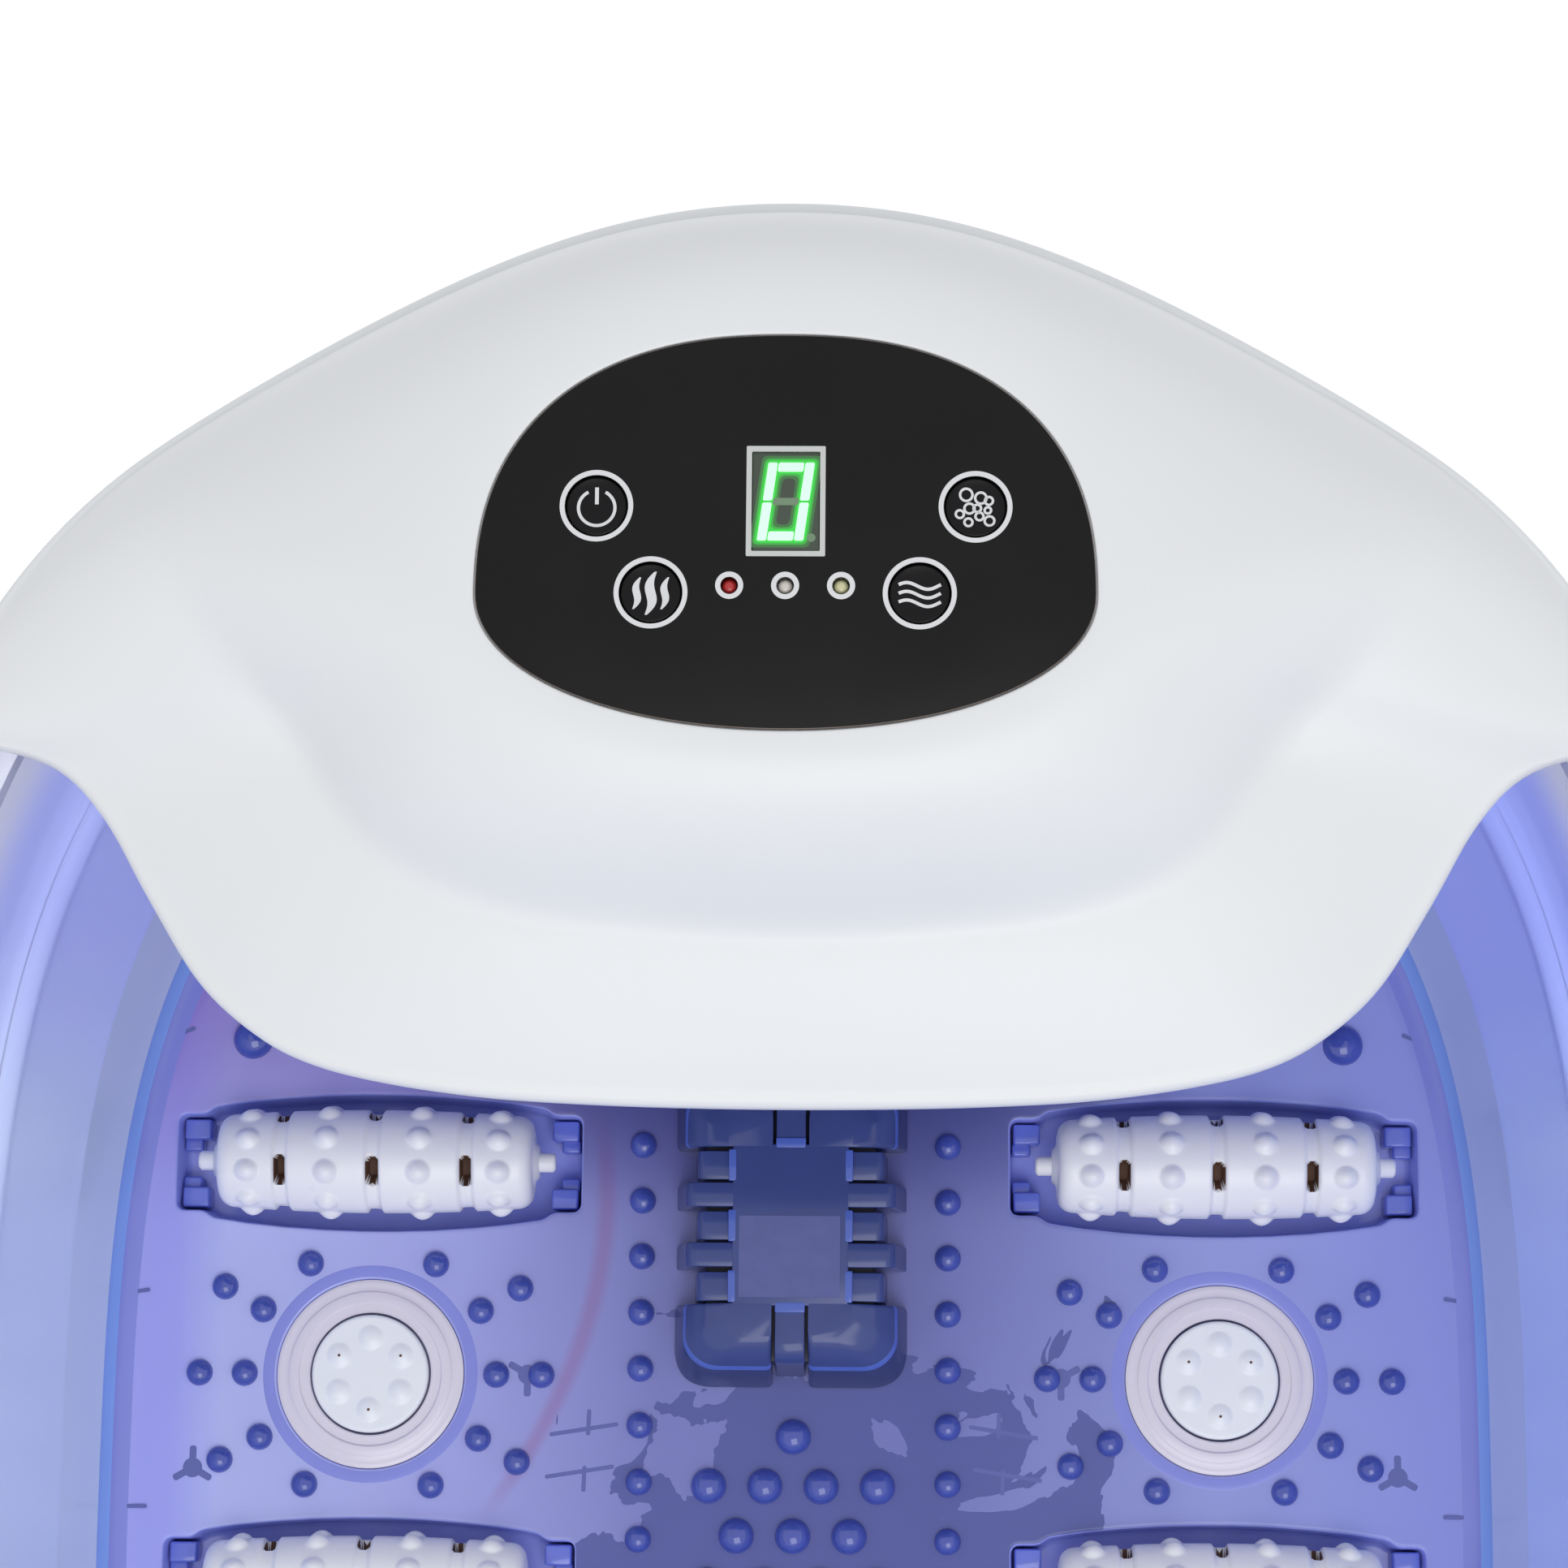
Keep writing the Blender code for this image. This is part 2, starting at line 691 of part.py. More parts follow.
def foot_places():
    x = FOOT_X_SHARE * FLOOR_HALF_WIDTH
    front = FOOT_Y_SHARE * FLOOR_FRONT_LENGTH
    rear = -FOOT_Y_SHARE * FLOOR_REAR_LENGTH
    return [(-x, front), (x, front), (-x, rear), (x, rear)]


def roller_places():
    return [(x, y) for y in (ROLLER_FRONT_Y, ROLLER_REAR_Y) for x in (-ROLLER_X, ROLLER_X)]


def disc_places():
    return [(-DISC_X, DISC_Y), (DISC_X, DISC_Y)]


def nub_places():
    """Every nub on the floor as (x, y, radius)."""
    places = []
    for x, y in disc_places():
        for circle, angles in ((NUB_CIRCLE, NUB_ANGLES), (NUB_OUTER_CIRCLE, NUB_OUTER_ANGLES)):
            for degrees in angles:
                angle = math.radians(degrees)
                places.append((x + circle * math.cos(angle), y + circle * math.sin(angle),
                               NUB_RADIUS))
    for row in range(NUB_COLUMN_COUNT):
        for x in (-NUB_COLUMN_X, NUB_COLUMN_X):
            places.append((x, NUB_COLUMN_Y - row * NUB_COLUMN_PITCH, NUB_RADIUS))
    for row, count in enumerate(CLUSTER_ROWS):
        for k in range(count):
            x = (k - (count - 1) / 2) * CLUSTER_PITCH_X
            places.append((x, CLUSTER_Y - row * CLUSTER_PITCH_Y, CLUSTER_NUB_RADIUS))
    for x in (-LARGE_NUB_X, LARGE_NUB_X):
        places.append((x, LARGE_NUB_Y, LARGE_NUB_RADIUS))
    return places


def nub_mesh():
    work = bmesh.new()
    for x, y, radius in nub_places():
        middle = Matrix.Translation((x, y, FLOOR_HEIGHT + (NUB_HEIGHT - NUB_SINK) / 2))
        add_cone(work, radius, radius * NUB_TOP_SHARE, NUB_HEIGHT + NUB_SINK, NUB_SIDES, middle)
    return finish_mesh("floor_nubs", work)


def pocket_outline(grow):
    """Boat-shaped plan of a roller pocket, round its own middle."""
    half = POCKET_LENGTH / 2 + grow
    middle = POCKET_WIDTH / 2 + grow
    end = POCKET_END_WIDTH / 2 + grow
    return [(half, end), (half / 2, middle), (-half / 2, middle), (-half, end),
            (-half, -end), (-half / 2, -middle), (half / 2, -middle), (half, -end)]


def pocket_meshes(grow, bottom, end_bottom, top):
    """Roller pockets, and the shallower pockets for the ends of their axles."""
    meshes = []
    end_half = END_POCKET_SPAN / 2 + grow
    end_width = END_POCKET_WIDTH / 2 + grow
    for x, y in roller_places():
        plan = [(x + a, y + b) for a, b in pocket_outline(grow)]
        meshes.append(prism_mesh("pocket", plan, bottom, top))
        meshes.append(span_mesh("end_pocket", (x - end_half, y - end_width, end_bottom),
                                (x + end_half, y + end_width, top)))
    return meshes


def cradle_mesh():
    """Walls across the axle pockets, which carry the axle ends."""
    meshes = []
    top = ROLLER_AXIS_HEIGHT + CRADLE_RISE
    bottom = FLOOR_HEIGHT - END_POCKET_DEPTH - BASIN_WALL / 2
    reach = ROLLER_SPAN / 2 - CRADLE_THICKNESS / 2
    for x, y in roller_places():
        for side in (-1, 1):
            middle = x + side * reach
            low = (middle - CRADLE_THICKNESS / 2, y - CRADLE_WIDTH / 2, bottom)
            high = (middle + CRADLE_THICKNESS / 2, y + CRADLE_WIDTH / 2, top)
            meshes.append(span_mesh("cradle", low, high))
    return joined_mesh("cradles", meshes)


def cradle_notch_mesh():
    meshes = []
    seat = AXLE_RADIUS + GAP
    for x, y in roller_places():
        reach = ROLLER_SPAN / 2 + OVERRUN
        low = (x - reach, y - seat, ROLLER_AXIS_HEIGHT - seat)
        high = (x + reach, y + seat, ROLLER_AXIS_HEIGHT + CRADLE_RISE + OVERRUN)
        meshes.append(span_mesh("notch", low, high))
    return joined_mesh("cradle_notches", meshes)


def boss_meshes():
    """Screw bosses under the floor, each with three fins."""
    bosses = []
    fins = []
    bottom = POST_TOP + GAP
    for x, y in base_screw_places():
        bosses.append(cylinder_mesh("boss", BOSS_RADIUS, bottom, UNDER_FLOOR + BASIN_WALL / 2,
                                    SCREW_SIDES, (x, y)))
        for degrees in FIN_ANGLES:
            fin = box_mesh("fin", FIN_REACH - SCREW_RADIUS * 2, FIN_THICKNESS,
                           RIB_HEIGHT + BASIN_WALL / 2)
            fin.transform(Matrix.Translation(((FIN_REACH + SCREW_RADIUS * 2) / 2, 0, 0)))
            fin.transform(Matrix.Rotation(math.radians(degrees), 4, "Z"))
            fin.transform(Matrix.Translation((x, y, UNDER_FLOOR + BASIN_WALL / 4
                                              - RIB_HEIGHT / 2)))
            fins.append(fin)
    return joined_mesh("bosses", bosses), joined_mesh("boss_fins", fins)


def rib_mesh():
    """Pairs of T-shaped ribs under the floor."""
    meshes = []
    low = UNDER_FLOOR - RIB_HEIGHT
    high = UNDER_FLOOR + BASIN_WALL / 2
    for x in (-RIB_X, RIB_X):
        for side in (-1, 1):
            y = RIB_Y + side * RIB_SPACING / 2
            bar = RIB_THICKNESS / 2
            meshes.append(span_mesh("rib", (x - RIB_LENGTH / 2, y - bar, low),
                                    (x + RIB_LENGTH / 2, y + bar, high)))
            edge = y + side * (RIB_STEM + bar)
            meshes.append(span_mesh("stem", (x - bar, min(y, edge), low),
                                    (x + bar, max(y, edge), high)))
    return joined_mesh("ribs", meshes)


def socket_meshes():
    """Collars under the floor for the bubble discs, with a nozzle below each."""
    collar_bottom = FLOOR_HEIGHT - SOCKET_DEPTH - SOCKET_FLOOR
    collars = []
    nozzles = []
    for place_on in disc_places():
        collars.append(cylinder_mesh("collar", SOCKET_COLLAR_RADIUS, collar_bottom,
                                     UNDER_FLOOR + BASIN_WALL / 2, DISC_STEPS, place_on))
        nozzles.append(cylinder_mesh("nozzle", NOZZLE_RADIUS, collar_bottom - NOZZLE_LENGTH,
                                     collar_bottom + SOCKET_FLOOR / 2, SCREW_SIDES, place_on))
    return joined_mesh("collars", collars), joined_mesh("nozzles", nozzles)


def socket_cut_meshes():
    floor = FLOOR_HEIGHT - SOCKET_DEPTH
    sockets = [cylinder_mesh("socket", RING_RADIUS + GAP, floor, FLOOR_HEIGHT + OVERRUN,
                             DISC_STEPS, place_on) for place_on in disc_places()]
    bottom = floor - SOCKET_FLOOR - NOZZLE_LENGTH - OVERRUN
    bores = [cylinder_mesh("bore", NOZZLE_BORE_RADIUS, bottom, floor + OVERRUN,
                           SCREW_SIDES, place_on) for place_on in disc_places()]
    return joined_mesh("sockets", sockets), joined_mesh("nozzle_bores", bores)


def pilot_mesh(places, bottom, top):
    radius = SCREW_RADIUS + GAP
    holes = [cylinder_mesh("pilot", radius, bottom, top, SCREW_SIDES, spot) for spot in places]
    return joined_mesh("pilots", holes)


def make_basin(material):
    basin = part("basin", loft_mesh("basin", basin_rings(), cap_first=True), material)
    basin.data.flip_normals()
    solidify(basin, BASIN_WALL)
    bosses, fins = boss_meshes()
    collars, nozzles = socket_meshes()
    sockets, bores = socket_cut_meshes()
    pocket_floor = FLOOR_HEIGHT - POCKET_DEPTH
    end_floor = FLOOR_HEIGHT - END_POCKET_DEPTH
    middle = FLOOR_HEIGHT - BASIN_WALL / 2
    shells = pocket_meshes(BASIN_WALL, pocket_floor - BASIN_WALL, end_floor - BASIN_WALL, middle)
    hollows = pocket_meshes(0.0, pocket_floor, end_floor, FLOOR_HEIGHT + OVERRUN)
    window = span_mesh("heater_window",
                       (-HEATER_HALF_WIDTH, GUARD_Y - HEATER_HALF_LENGTH, UNDER_FLOOR - OVERRUN),
                       (HEATER_HALF_WIDTH, GUARD_Y + HEATER_HALF_LENGTH, FLOOR_HEIGHT + OVERRUN))
    join(basin, cutter("pocket_shells", joined_mesh("pocket_shells", shells)), True)
    join(basin, cutter("socket_collars", collars))
    join(basin, cutter("socket_nozzles", nozzles))
    join(basin, cutter("boss_fins", fins))
    join(basin, cutter("basin_bosses", bosses))
    join(basin, cutter("lead_ribs", rib_mesh()), True)
    join(basin, cutter("floor_nubs", nub_mesh()))
    for number, hollow in enumerate(hollows):
        cut(basin, cutter(f"pocket_hollow_{number}", hollow))
    join(basin, cutter("axle_cradles", cradle_mesh()))
    cut(basin, cutter("cradle_notches", cradle_notch_mesh()))
    cut(basin, cutter("disc_sockets", sockets))
    cut(basin, cutter("nozzle_bores", bores))
    cut(basin, cutter("heater_window", window))
    screw_top = FOOT_HEIGHT + POST_FLOOR + SCREW_HEAD_HEIGHT + BASE_SCREW_LENGTH + GAP
    cut(basin, cutter("basin_pilots", pilot_mesh(base_screw_places(),
                                                 POST_TOP - OVERRUN, screw_top)))
    cut(basin, cutter("rim_pilots", pilot_mesh(cover_screw_places(),
                                               RIM_HEIGHT - BASIN_WALL - OVERRUN,
                                               RIM_HEIGHT + OVERRUN)))
    return basin


def roller_profile():
    """Barrel with three grooves and an axle, from one end to the other."""
    half = ROLLER_LENGTH / 2
    axle = [(0, ROLLER_SPAN / 2), (AXLE_RADIUS, ROLLER_SPAN / 2), (AXLE_RADIUS, half)]
    shoulder = [(ROLLER_END_RADIUS - ROLLER_ROUND, half), (ROLLER_END_RADIUS, half - ROLLER_ROUND)]
    body = []
    for groove in (1, 0, -1):
        middle = groove * GROOVE_PITCH
        radius = ROLLER_RADIUS - (ROLLER_RADIUS - ROLLER_END_RADIUS) * (middle / half) ** 2
        edge = GROOVE_WIDTH / 2
        body += [(radius, middle + edge), (radius - GROOVE_DEPTH, middle),
                 (radius, middle - edge)]
    top = axle + shoulder
    bottom = [(radius, -height) for radius, height in reversed(top)]
    return top + body + bottom


def roller_nub_mesh():
    work = bmesh.new()
    half = ROLLER_LENGTH / 2
    depth = ROLLER_NUB_HEIGHT + ROLLER_NUB_RADIUS
    for column in range(ROLLER_NUB_COLUMNS):
        middle = (column - (ROLLER_NUB_COLUMNS - 1) / 2) * GROOVE_PITCH
        bow = (ROLLER_RADIUS - ROLLER_END_RADIUS) * (middle / half) ** 2
        reach = ROLLER_RADIUS - bow + ROLLER_NUB_HEIGHT - depth / 2
        for k in range(ROLLER_NUB_COUNT):
            angle = 2 * math.pi * (k + 0.5) / ROLLER_NUB_COUNT
            spin = Matrix.Rotation(angle, 4, "Z")
            out = Matrix.Translation((reach, 0, middle))
            tip = Matrix.Rotation(math.pi / 2, 4, "Y")
            add_cone(work, ROLLER_NUB_RADIUS, ROLLER_NUB_RADIUS / 2, depth, ROLLER_NUB_SIDES,
                     spin @ out @ tip)
    return finish_mesh("roller_nubs", work)


def make_rollers(material):
    pattern = cutter("roller_pattern", profile_mesh("roller_profile", roller_profile()))
    turn(pattern, ROLLER_STEPS)
    join(pattern, cutter("roller_nubs", roller_nub_mesh()))
    mesh = evaluated_mesh(pattern, "massage_roller")
    names = ("roller_front_left", "roller_front_right", "roller_rear_left", "roller_rear_right")
    mesh.materials.append(material)
    for name, (x, y) in zip(names, roller_places()):
        part(name, mesh, None, (x, y, ROLLER_AXIS_HEIGHT), (0, math.pi / 2, 0))


def make_disc_mesh():
    """Disc with six domes, three of them pierced, round its own axis."""
    top = DISC_RISE
    bottom = GAP - SOCKET_DEPTH
    pattern = cutter("disc_pattern", cylinder_mesh("disc_body", DISC_RADIUS, bottom, top,
                                                   DISC_STEPS))
    work = bmesh.new()
    holes = []
    for k in range(DISC_DOME_COUNT):
        angle = 2 * math.pi * (k + 0.5) / DISC_DOME_COUNT
        x = DISC_DOME_CIRCLE * math.cos(angle)
        y = DISC_DOME_CIRCLE * math.sin(angle)
        middle = Matrix.Translation((x, y, top))
        add_cone(work, DISC_DOME_RADIUS, DISC_DOME_RADIUS / 2, DISC_DOME_HEIGHT * 2, NUB_SIDES,
                 middle)
        if k % 2 == 0:
            holes.append(cylinder_mesh("pinhole", DISC_PINHOLE_RADIUS, bottom - OVERRUN,
                                       top + OVERRUN, NUB_SIDES, (x, y)))
    join(pattern, cutter("disc_domes", finish_mesh("disc_domes", work)))
    cut(pattern, cutter("disc_pinholes", joined_mesh("disc_pinholes", holes)))
    return evaluated_mesh(pattern, "bubble_disc")


def make_discs(disc_material, ring_material):
    disc_mesh = make_disc_mesh()
    disc_mesh.materials.append(disc_material)
    bore = DISC_RADIUS + GAP
    bottom = GAP - SOCKET_DEPTH
    middle = (bore + RING_STEP_RADIUS) / 2
    ring_mesh = profile_mesh("disc_ring", (
        (RING_STEP_RADIUS, RING_STEP_HEIGHT),
        (RING_STEP_RADIUS, 0),
        (RING_RADIUS, 0),
        (RING_RADIUS, bottom),
        (bore, bottom),
        (bore, RING_STEP_HEIGHT / 2),
        (middle, RING_STEP_HEIGHT),
    ), closed=True)
    ring_mesh.materials.append(ring_material)
    for side, (x, y) in zip(("left", "right"), disc_places()):
        part(f"bubble_disc_{side}", disc_mesh, None, (x, y, FLOOR_HEIGHT))
        turn(part(f"disc_ring_{side}", ring_mesh, None, (x, y, FLOOR_HEIGHT)), DISC_STEPS)


def rounded_block(name, half_width, low_y, high_y, bottom, top, corner, bevel):
    """A block with round upright corners and a bevelled top."""
    work = bmesh.new()
    bmesh.ops.create_cube(work, size=1.0)
    bmesh.ops.scale(work, vec=(2 * half_width, high_y - low_y, top - bottom), verts=work.verts)
    upright = [e for e in work.edges if abs(e.verts[0].co.z - e.verts[1].co.z) > GAP]
    if corner:
        bmesh.ops.bevel(work, geom=upright, offset=corner, segments=2, affect="EDGES",
                        profile=0.5)
    high = max(v.co.z for v in work.verts)
    rim = [e for e in work.edges if all(v.co.z > high - GAP for v in e.verts)]
    bmesh.ops.bevel(work, geom=rim, offset=bevel, segments=1, affect="EDGES")
    bmesh.ops.translate(work, vec=(0, (low_y + high_y) / 2, (bottom + top) / 2),
                        verts=work.verts)
    return finish_mesh(name, work)


def guard_slot_mesh():
    """Narrow slots beside the side lugs and beside the two end tongues."""
    meshes = []
    bottom = FLOOR_HEIGHT + GAP
    top = bottom + GUARD_HEIGHT + OVERRUN
    lug_edges = [GUARD_Y + s * LUG_SPACING / 2 + t * (LUG_LENGTH / 2 + GUARD_SLOT / 2)
                 for s in (-1, 1) for t in (-1, 1)]
    end_edges = [GUARD_Y + s * (GUARD_HALF_LENGTH - GUARD_END_LENGTH - GUARD_SLOT / 2)
                 for s in (-1, 1)]
    outer = GUARD_HALF_WIDTH + OVERRUN
    inner = GUARD_HALF_WIDTH - GUARD_SLOT_REACH
    for y in lug_edges + end_edges:
        for side in (-1, 1):
            low_x, high_x = sorted((side * inner, side * outer))
            meshes.append(span_mesh("slot", (low_x, y - GUARD_SLOT / 2, bottom + GUARD_WALL),
                                    (high_x, y + GUARD_SLOT / 2, top)))
    for end in (-1, 1):
        edge = GUARD_Y + end * (GUARD_HALF_LENGTH + OVERRUN)
        start = GUARD_Y + end * (GUARD_HALF_LENGTH - TONGUE_LENGTH)
        low_y, high_y = sorted((edge, start))
        for side in (-1, 1):
            x = side * (TONGUE_HALF_WIDTH + GUARD_SLOT / 2)
            meshes.append(span_mesh("tongue_slot",
                                    (x - GUARD_SLOT / 2, low_y, bottom + GUARD_WALL),
                                    (x + GUARD_SLOT / 2, high_y, top)))
    return joined_mesh("guard_slots", meshes)


def make_guard(material):
    bottom = FLOOR_HEIGHT + GAP
    top = bottom + GUARD_HEIGHT
    low = GUARD_Y - GUARD_HALF_LENGTH
    high = GUARD_Y + GUARD_HALF_LENGTH
    core = GUARD_HALF_WIDTH - GUARD_INSET
    guard = part("heater_guard", rounded_block("guard_core", core, low + GUARD_END_LENGTH / 2,
                                               high - GUARD_END_LENGTH / 2, bottom, top, 0,
                                               GUARD_TOP_BEVEL), material)
    for name, start, end in (("far", high - GUARD_END_LENGTH, high),
                             ("near", low, low + GUARD_END_LENGTH)):
        block = rounded_block(f"guard_{name}", GUARD_HALF_WIDTH, start, end, bottom, top,
                              GUARD_CORNER, GUARD_TOP_BEVEL)
        join(guard, cutter(f"guard_{name}", block))
    for side in (-1, 1):
        middle = GUARD_Y + side * LUG_SPACING / 2
        lug = rounded_block("lug", GUARD_HALF_WIDTH, middle - LUG_LENGTH / 2,
                            middle + LUG_LENGTH / 2, bottom, top, 0, LUG_LENGTH / 4)
        join(guard, cutter(f"guard_lug_{side}", lug))
    hollow = span_mesh("guard_hollow",
                       (-core + GUARD_WALL, low + GUARD_WALL * 2, bottom - OVERRUN),
                       (core - GUARD_WALL, high - GUARD_WALL * 2, top - GUARD_WALL))
    cut(guard, cutter("guard_hollow", hollow))
    cut(guard, cutter("guard_slots", guard_slot_mesh()))
    return guard


def make_heater(steel, rubber, bracket, ceramic):
    """Gasket, plate, clamp and thermostat below the window in the basin floor."""
    outer_x = HEATER_HALF_WIDTH + HEATER_LIP
    outer_y = HEATER_HALF_LENGTH + HEATER_LIP
    gasket_top = UNDER_FLOOR - GAP
    plate_top = gasket_top - GASKET_THICKNESS - GAP
    clamp_top = plate_top - HEATER_THICKNESS - GAP
    gasket = part("heater_gasket", span_mesh("heater_gasket",
                  (-outer_x, GUARD_Y - outer_y, gasket_top - GASKET_THICKNESS),
                  (outer_x, GUARD_Y + outer_y, gasket_top)), rubber)
    cut(gasket, cutter("gasket_hole", span_mesh("gasket_hole",
        (-HEATER_HALF_WIDTH, GUARD_Y - HEATER_HALF_LENGTH, gasket_top - OVERRUN),
        (HEATER_HALF_WIDTH, GUARD_Y + HEATER_HALF_LENGTH, gasket_top + OVERRUN))))
    plate = part("heater_plate", span_mesh("heater_plate",
                 (-outer_x, GUARD_Y - outer_y, plate_top - HEATER_THICKNESS),
                 (outer_x, GUARD_Y + outer_y, plate_top)), steel)
    pad_x = HEATER_HALF_WIDTH - RUNNING_GAP * 2
    pad_y = HEATER_HALF_LENGTH - RUNNING_GAP * 2
    join(plate, cutter("heater_pad", span_mesh("heater_pad",
         (-pad_x, GUARD_Y - pad_y, plate_top - HEATER_THICKNESS / 2),
         (pad_x, GUARD_Y + pad_y, plate_top + HEATER_PAD_RISE))))
    clamp = part("heater_clamp", span_mesh("heater_clamp",
                 (-outer_x, GUARD_Y - outer_y, clamp_top - CLAMP_THICKNESS),
                 (outer_x, GUARD_Y + outer_y, clamp_top)), bracket)
    cut(clamp, cutter("clamp_hole", span_mesh("clamp_hole",
        (-outer_x + CLAMP_RAIL, GUARD_Y - outer_y + CLAMP_RAIL, clamp_top - CLAMP_THICKNESS * 2),
        (outer_x - CLAMP_RAIL, GUARD_Y + outer_y - CLAMP_RAIL, clamp_top + OVERRUN))))
    part("thermostat", cylinder_mesh("thermostat", THERMOSTAT_RADIUS,
                                     clamp_top - THERMOSTAT_HEIGHT, clamp_top,
                                     centre=(0, GUARD_Y)), ceramic)
    return clamp_top - CLAMP_THICKNESS


def clamp_post_places():
    x = HEATER_HALF_WIDTH + HEATER_LIP - CLAMP_RAIL / 2
    y = HEATER_HALF_LENGTH + HEATER_LIP - CLAMP_RAIL / 2
    return [(a * x, GUARD_Y + b * y) for a in (-1, 1) for b in (-1, 1)]


def power_post_places():
    x = POWER_BOARD_WIDTH / 2 - CAPACITOR_RADIUS
    y = POWER_BOARD_LENGTH / 2 - CAPACITOR_RADIUS
    return [(POWER_BOARD_X + a * x, POWER_BOARD_Y + b * y) for a in (-1, 1) for b in (-1, 1)]


def pan_sizes():
    """Outer half width, front and rear length of the base at its top."""
    grow = (BASIN_WALL + PAN_WALL) * PAN_SLOPE_SHARE + FIT_GAP
    return outset(wall_sizes(PAN_TOP), grow)


def pan_rings(outer=0.0):
    top = pan_sizes()
    rows = (
        (outset(top, -PAN_TAPER - PAN_FILLET), FOOT_HEIGHT),
        (outset(top, -PAN_TAPER - PAN_FILLET / 4), FOOT_HEIGHT + PAN_FILLET / 4),
        (outset(top, -PAN_TAPER), FOOT_HEIGHT + PAN_FILLET),
        (top, PAN_TOP),
    )
    return [outline(*outset(sizes, outer), height) for sizes, height in rows]


def gland_frame():
    """Place and direction of the cord inlet: on the base wall, square to it."""
    top = pan_sizes()
    share = (GLAND_HEIGHT - FOOT_HEIGHT - PAN_FILLET) / (PAN_TOP - FOOT_HEIGHT - PAN_FILLET)
    half_width, front, _ = outset(top, -PAN_TAPER * (1 - share))
    across = (GLAND_X / half_width) ** OUTLINE_POWER
    y = front * (1 - across) ** (1 / OUTLINE_POWER)
    normal_x = (GLAND_X / half_width) ** (OUTLINE_POWER - 1) / half_width
    normal_y = (y / front) ** (OUTLINE_POWER - 1) / front
    flat = Vector((normal_x, normal_y, 0)).normalized()
    lean = PAN_TAPER / (PAN_TOP - FOOT_HEIGHT - PAN_FILLET)
    normal = Vector((flat.x, flat.y, -lean)).normalized()
    turn_to = normal.to_track_quat("Z", "Y").to_euler()
    return Vector((GLAND_X, y, GLAND_HEIGHT)), turn_to


def make_pan(material, clamp_bottom):
    pan = part("base_pan", loft_mesh("base_pan", pan_rings(), cap_first=True), material)
    solidify(pan, PAN_WALL)
    sunk = FOOT_HEIGHT + PAN_WALL / 2
    posts = [cylinder_mesh("post", POST_RADIUS, sunk, POST_TOP, SCREW_SIDES, spot)
             for spot in base_screw_places()]
    posts += [cylinder_mesh("clamp_post", CLAMP_POST_RADIUS, sunk, clamp_bottom - GAP,
                            SCREW_SIDES, spot) for spot in clamp_post_places()]
    posts += [cylinder_mesh("board_post", CAPACITOR_RADIUS / 2, sunk,
                            PAN_FLOOR + POWER_POST_HEIGHT, SCREW_SIDES, spot)
              for spot in power_post_places()]
    join(pan, cutter("pan_posts", joined_mesh("pan_posts", posts)))
    head_seat = FOOT_HEIGHT + POST_FLOOR + SCREW_HEAD_HEIGHT + GAP
    wells = [cylinder_mesh("well", SCREW_HEAD_RADIUS + GAP, FOOT_HEIGHT - OVERRUN, head_seat,
                           SCREW_SIDES, spot) for spot in base_screw_places()]
    cut(pan, cutter("screw_wells", joined_mesh("screw_wells", wells)))
    cut(pan, cutter("pan_pilots", pilot_mesh(base_screw_places(),
                                             FOOT_HEIGHT - OVERRUN, POST_TOP + OVERRUN)))
    slot = span_mesh("lead_slot", (-LEAD_SLOT_HALF_WIDTH, FLOOR_FRONT_LENGTH - PAN_TAPER * 2,
                                   LEAD_SLOT_BOTTOM),
                     (LEAD_SLOT_HALF_WIDTH, RIM_FRONT_LENGTH, LEAD_SLOT_TOP))
    cut(pan, cutter("lead_slot", slot))
    spot, turn_to = gland_frame()
    hole = cylinder_mesh("gland_hole", GLAND_RADIUS + GAP, -PAN_WALL * 2, PAN_WALL * 2,
                         GLAND_STEPS)
    cut(pan, cutter("gland_hole", hole, spot, turn_to))
    return pan


def make_feet(material):
    names = ("foot_front_left", "foot_front_right", "foot_rear_left", "foot_rear_right")
    mesh = cylinder_mesh("rubber_foot", FOOT_RADIUS, 0, FOOT_HEIGHT - GAP)
    mesh.materials.append(material)
    for name, (x, y) in zip(names, foot_places()):
        part(name, mesh, None, (x, y, 0))


def screw_mesh(name, length):
    """Pan-head screw with its point up: the head's under face is at zero."""
    return profile_mesh(name, (
        (0, length),
        (SCREW_RADIUS, length - SCREW_RADIUS),
        (SCREW_RADIUS, 0),
        (SCREW_HEAD_RADIUS, 0),
        (SCREW_HEAD_RADIUS, -SCREW_HEAD_HEIGHT / 2),
        (SCREW_HEAD_RADIUS / 2, -SCREW_HEAD_HEIGHT),
        (0, -SCREW_HEAD_HEIGHT),
    ))


def make_screws(name, places, height, length, material):
    mesh = screw_mesh(name, length)
    mesh.materials.append(material)
    for number, (x, y) in enumerate(places, 1):
        turn(part(f"{name}_{number}", mesh, None, (x, y, height)), SCREW_SIDES)


def cover_screw_places():
    """Places on the rim's flange, at an angle on both sides."""
    inset = BASIN_WALL + SCREW_HEAD_RADIUS + FIT_GAP
    middle = outset((RIM_HALF_WIDTH, RIM_FRONT_LENGTH), -inset)
    angle = math.radians(COVER_SCREW_ANGLE)
    x = middle[0] * math.cos(angle) ** (2 / OUTLINE_POWER)
    y = middle[1] * math.sin(angle) ** (2 / OUTLINE_POWER)
    return [(x, y), (-x, y)]


def board_screw_places():
    y = PANEL_Y + BOARD_BOSS_RISE
    return [(-BOARD_BOSS_X, y), (BOARD_BOSS_X, y)]


def to_points(shares):
    return [Vector((a * COVER_HALF_WIDTH, b * COVER_FRONT_LENGTH, 0)) for a, b in shares]


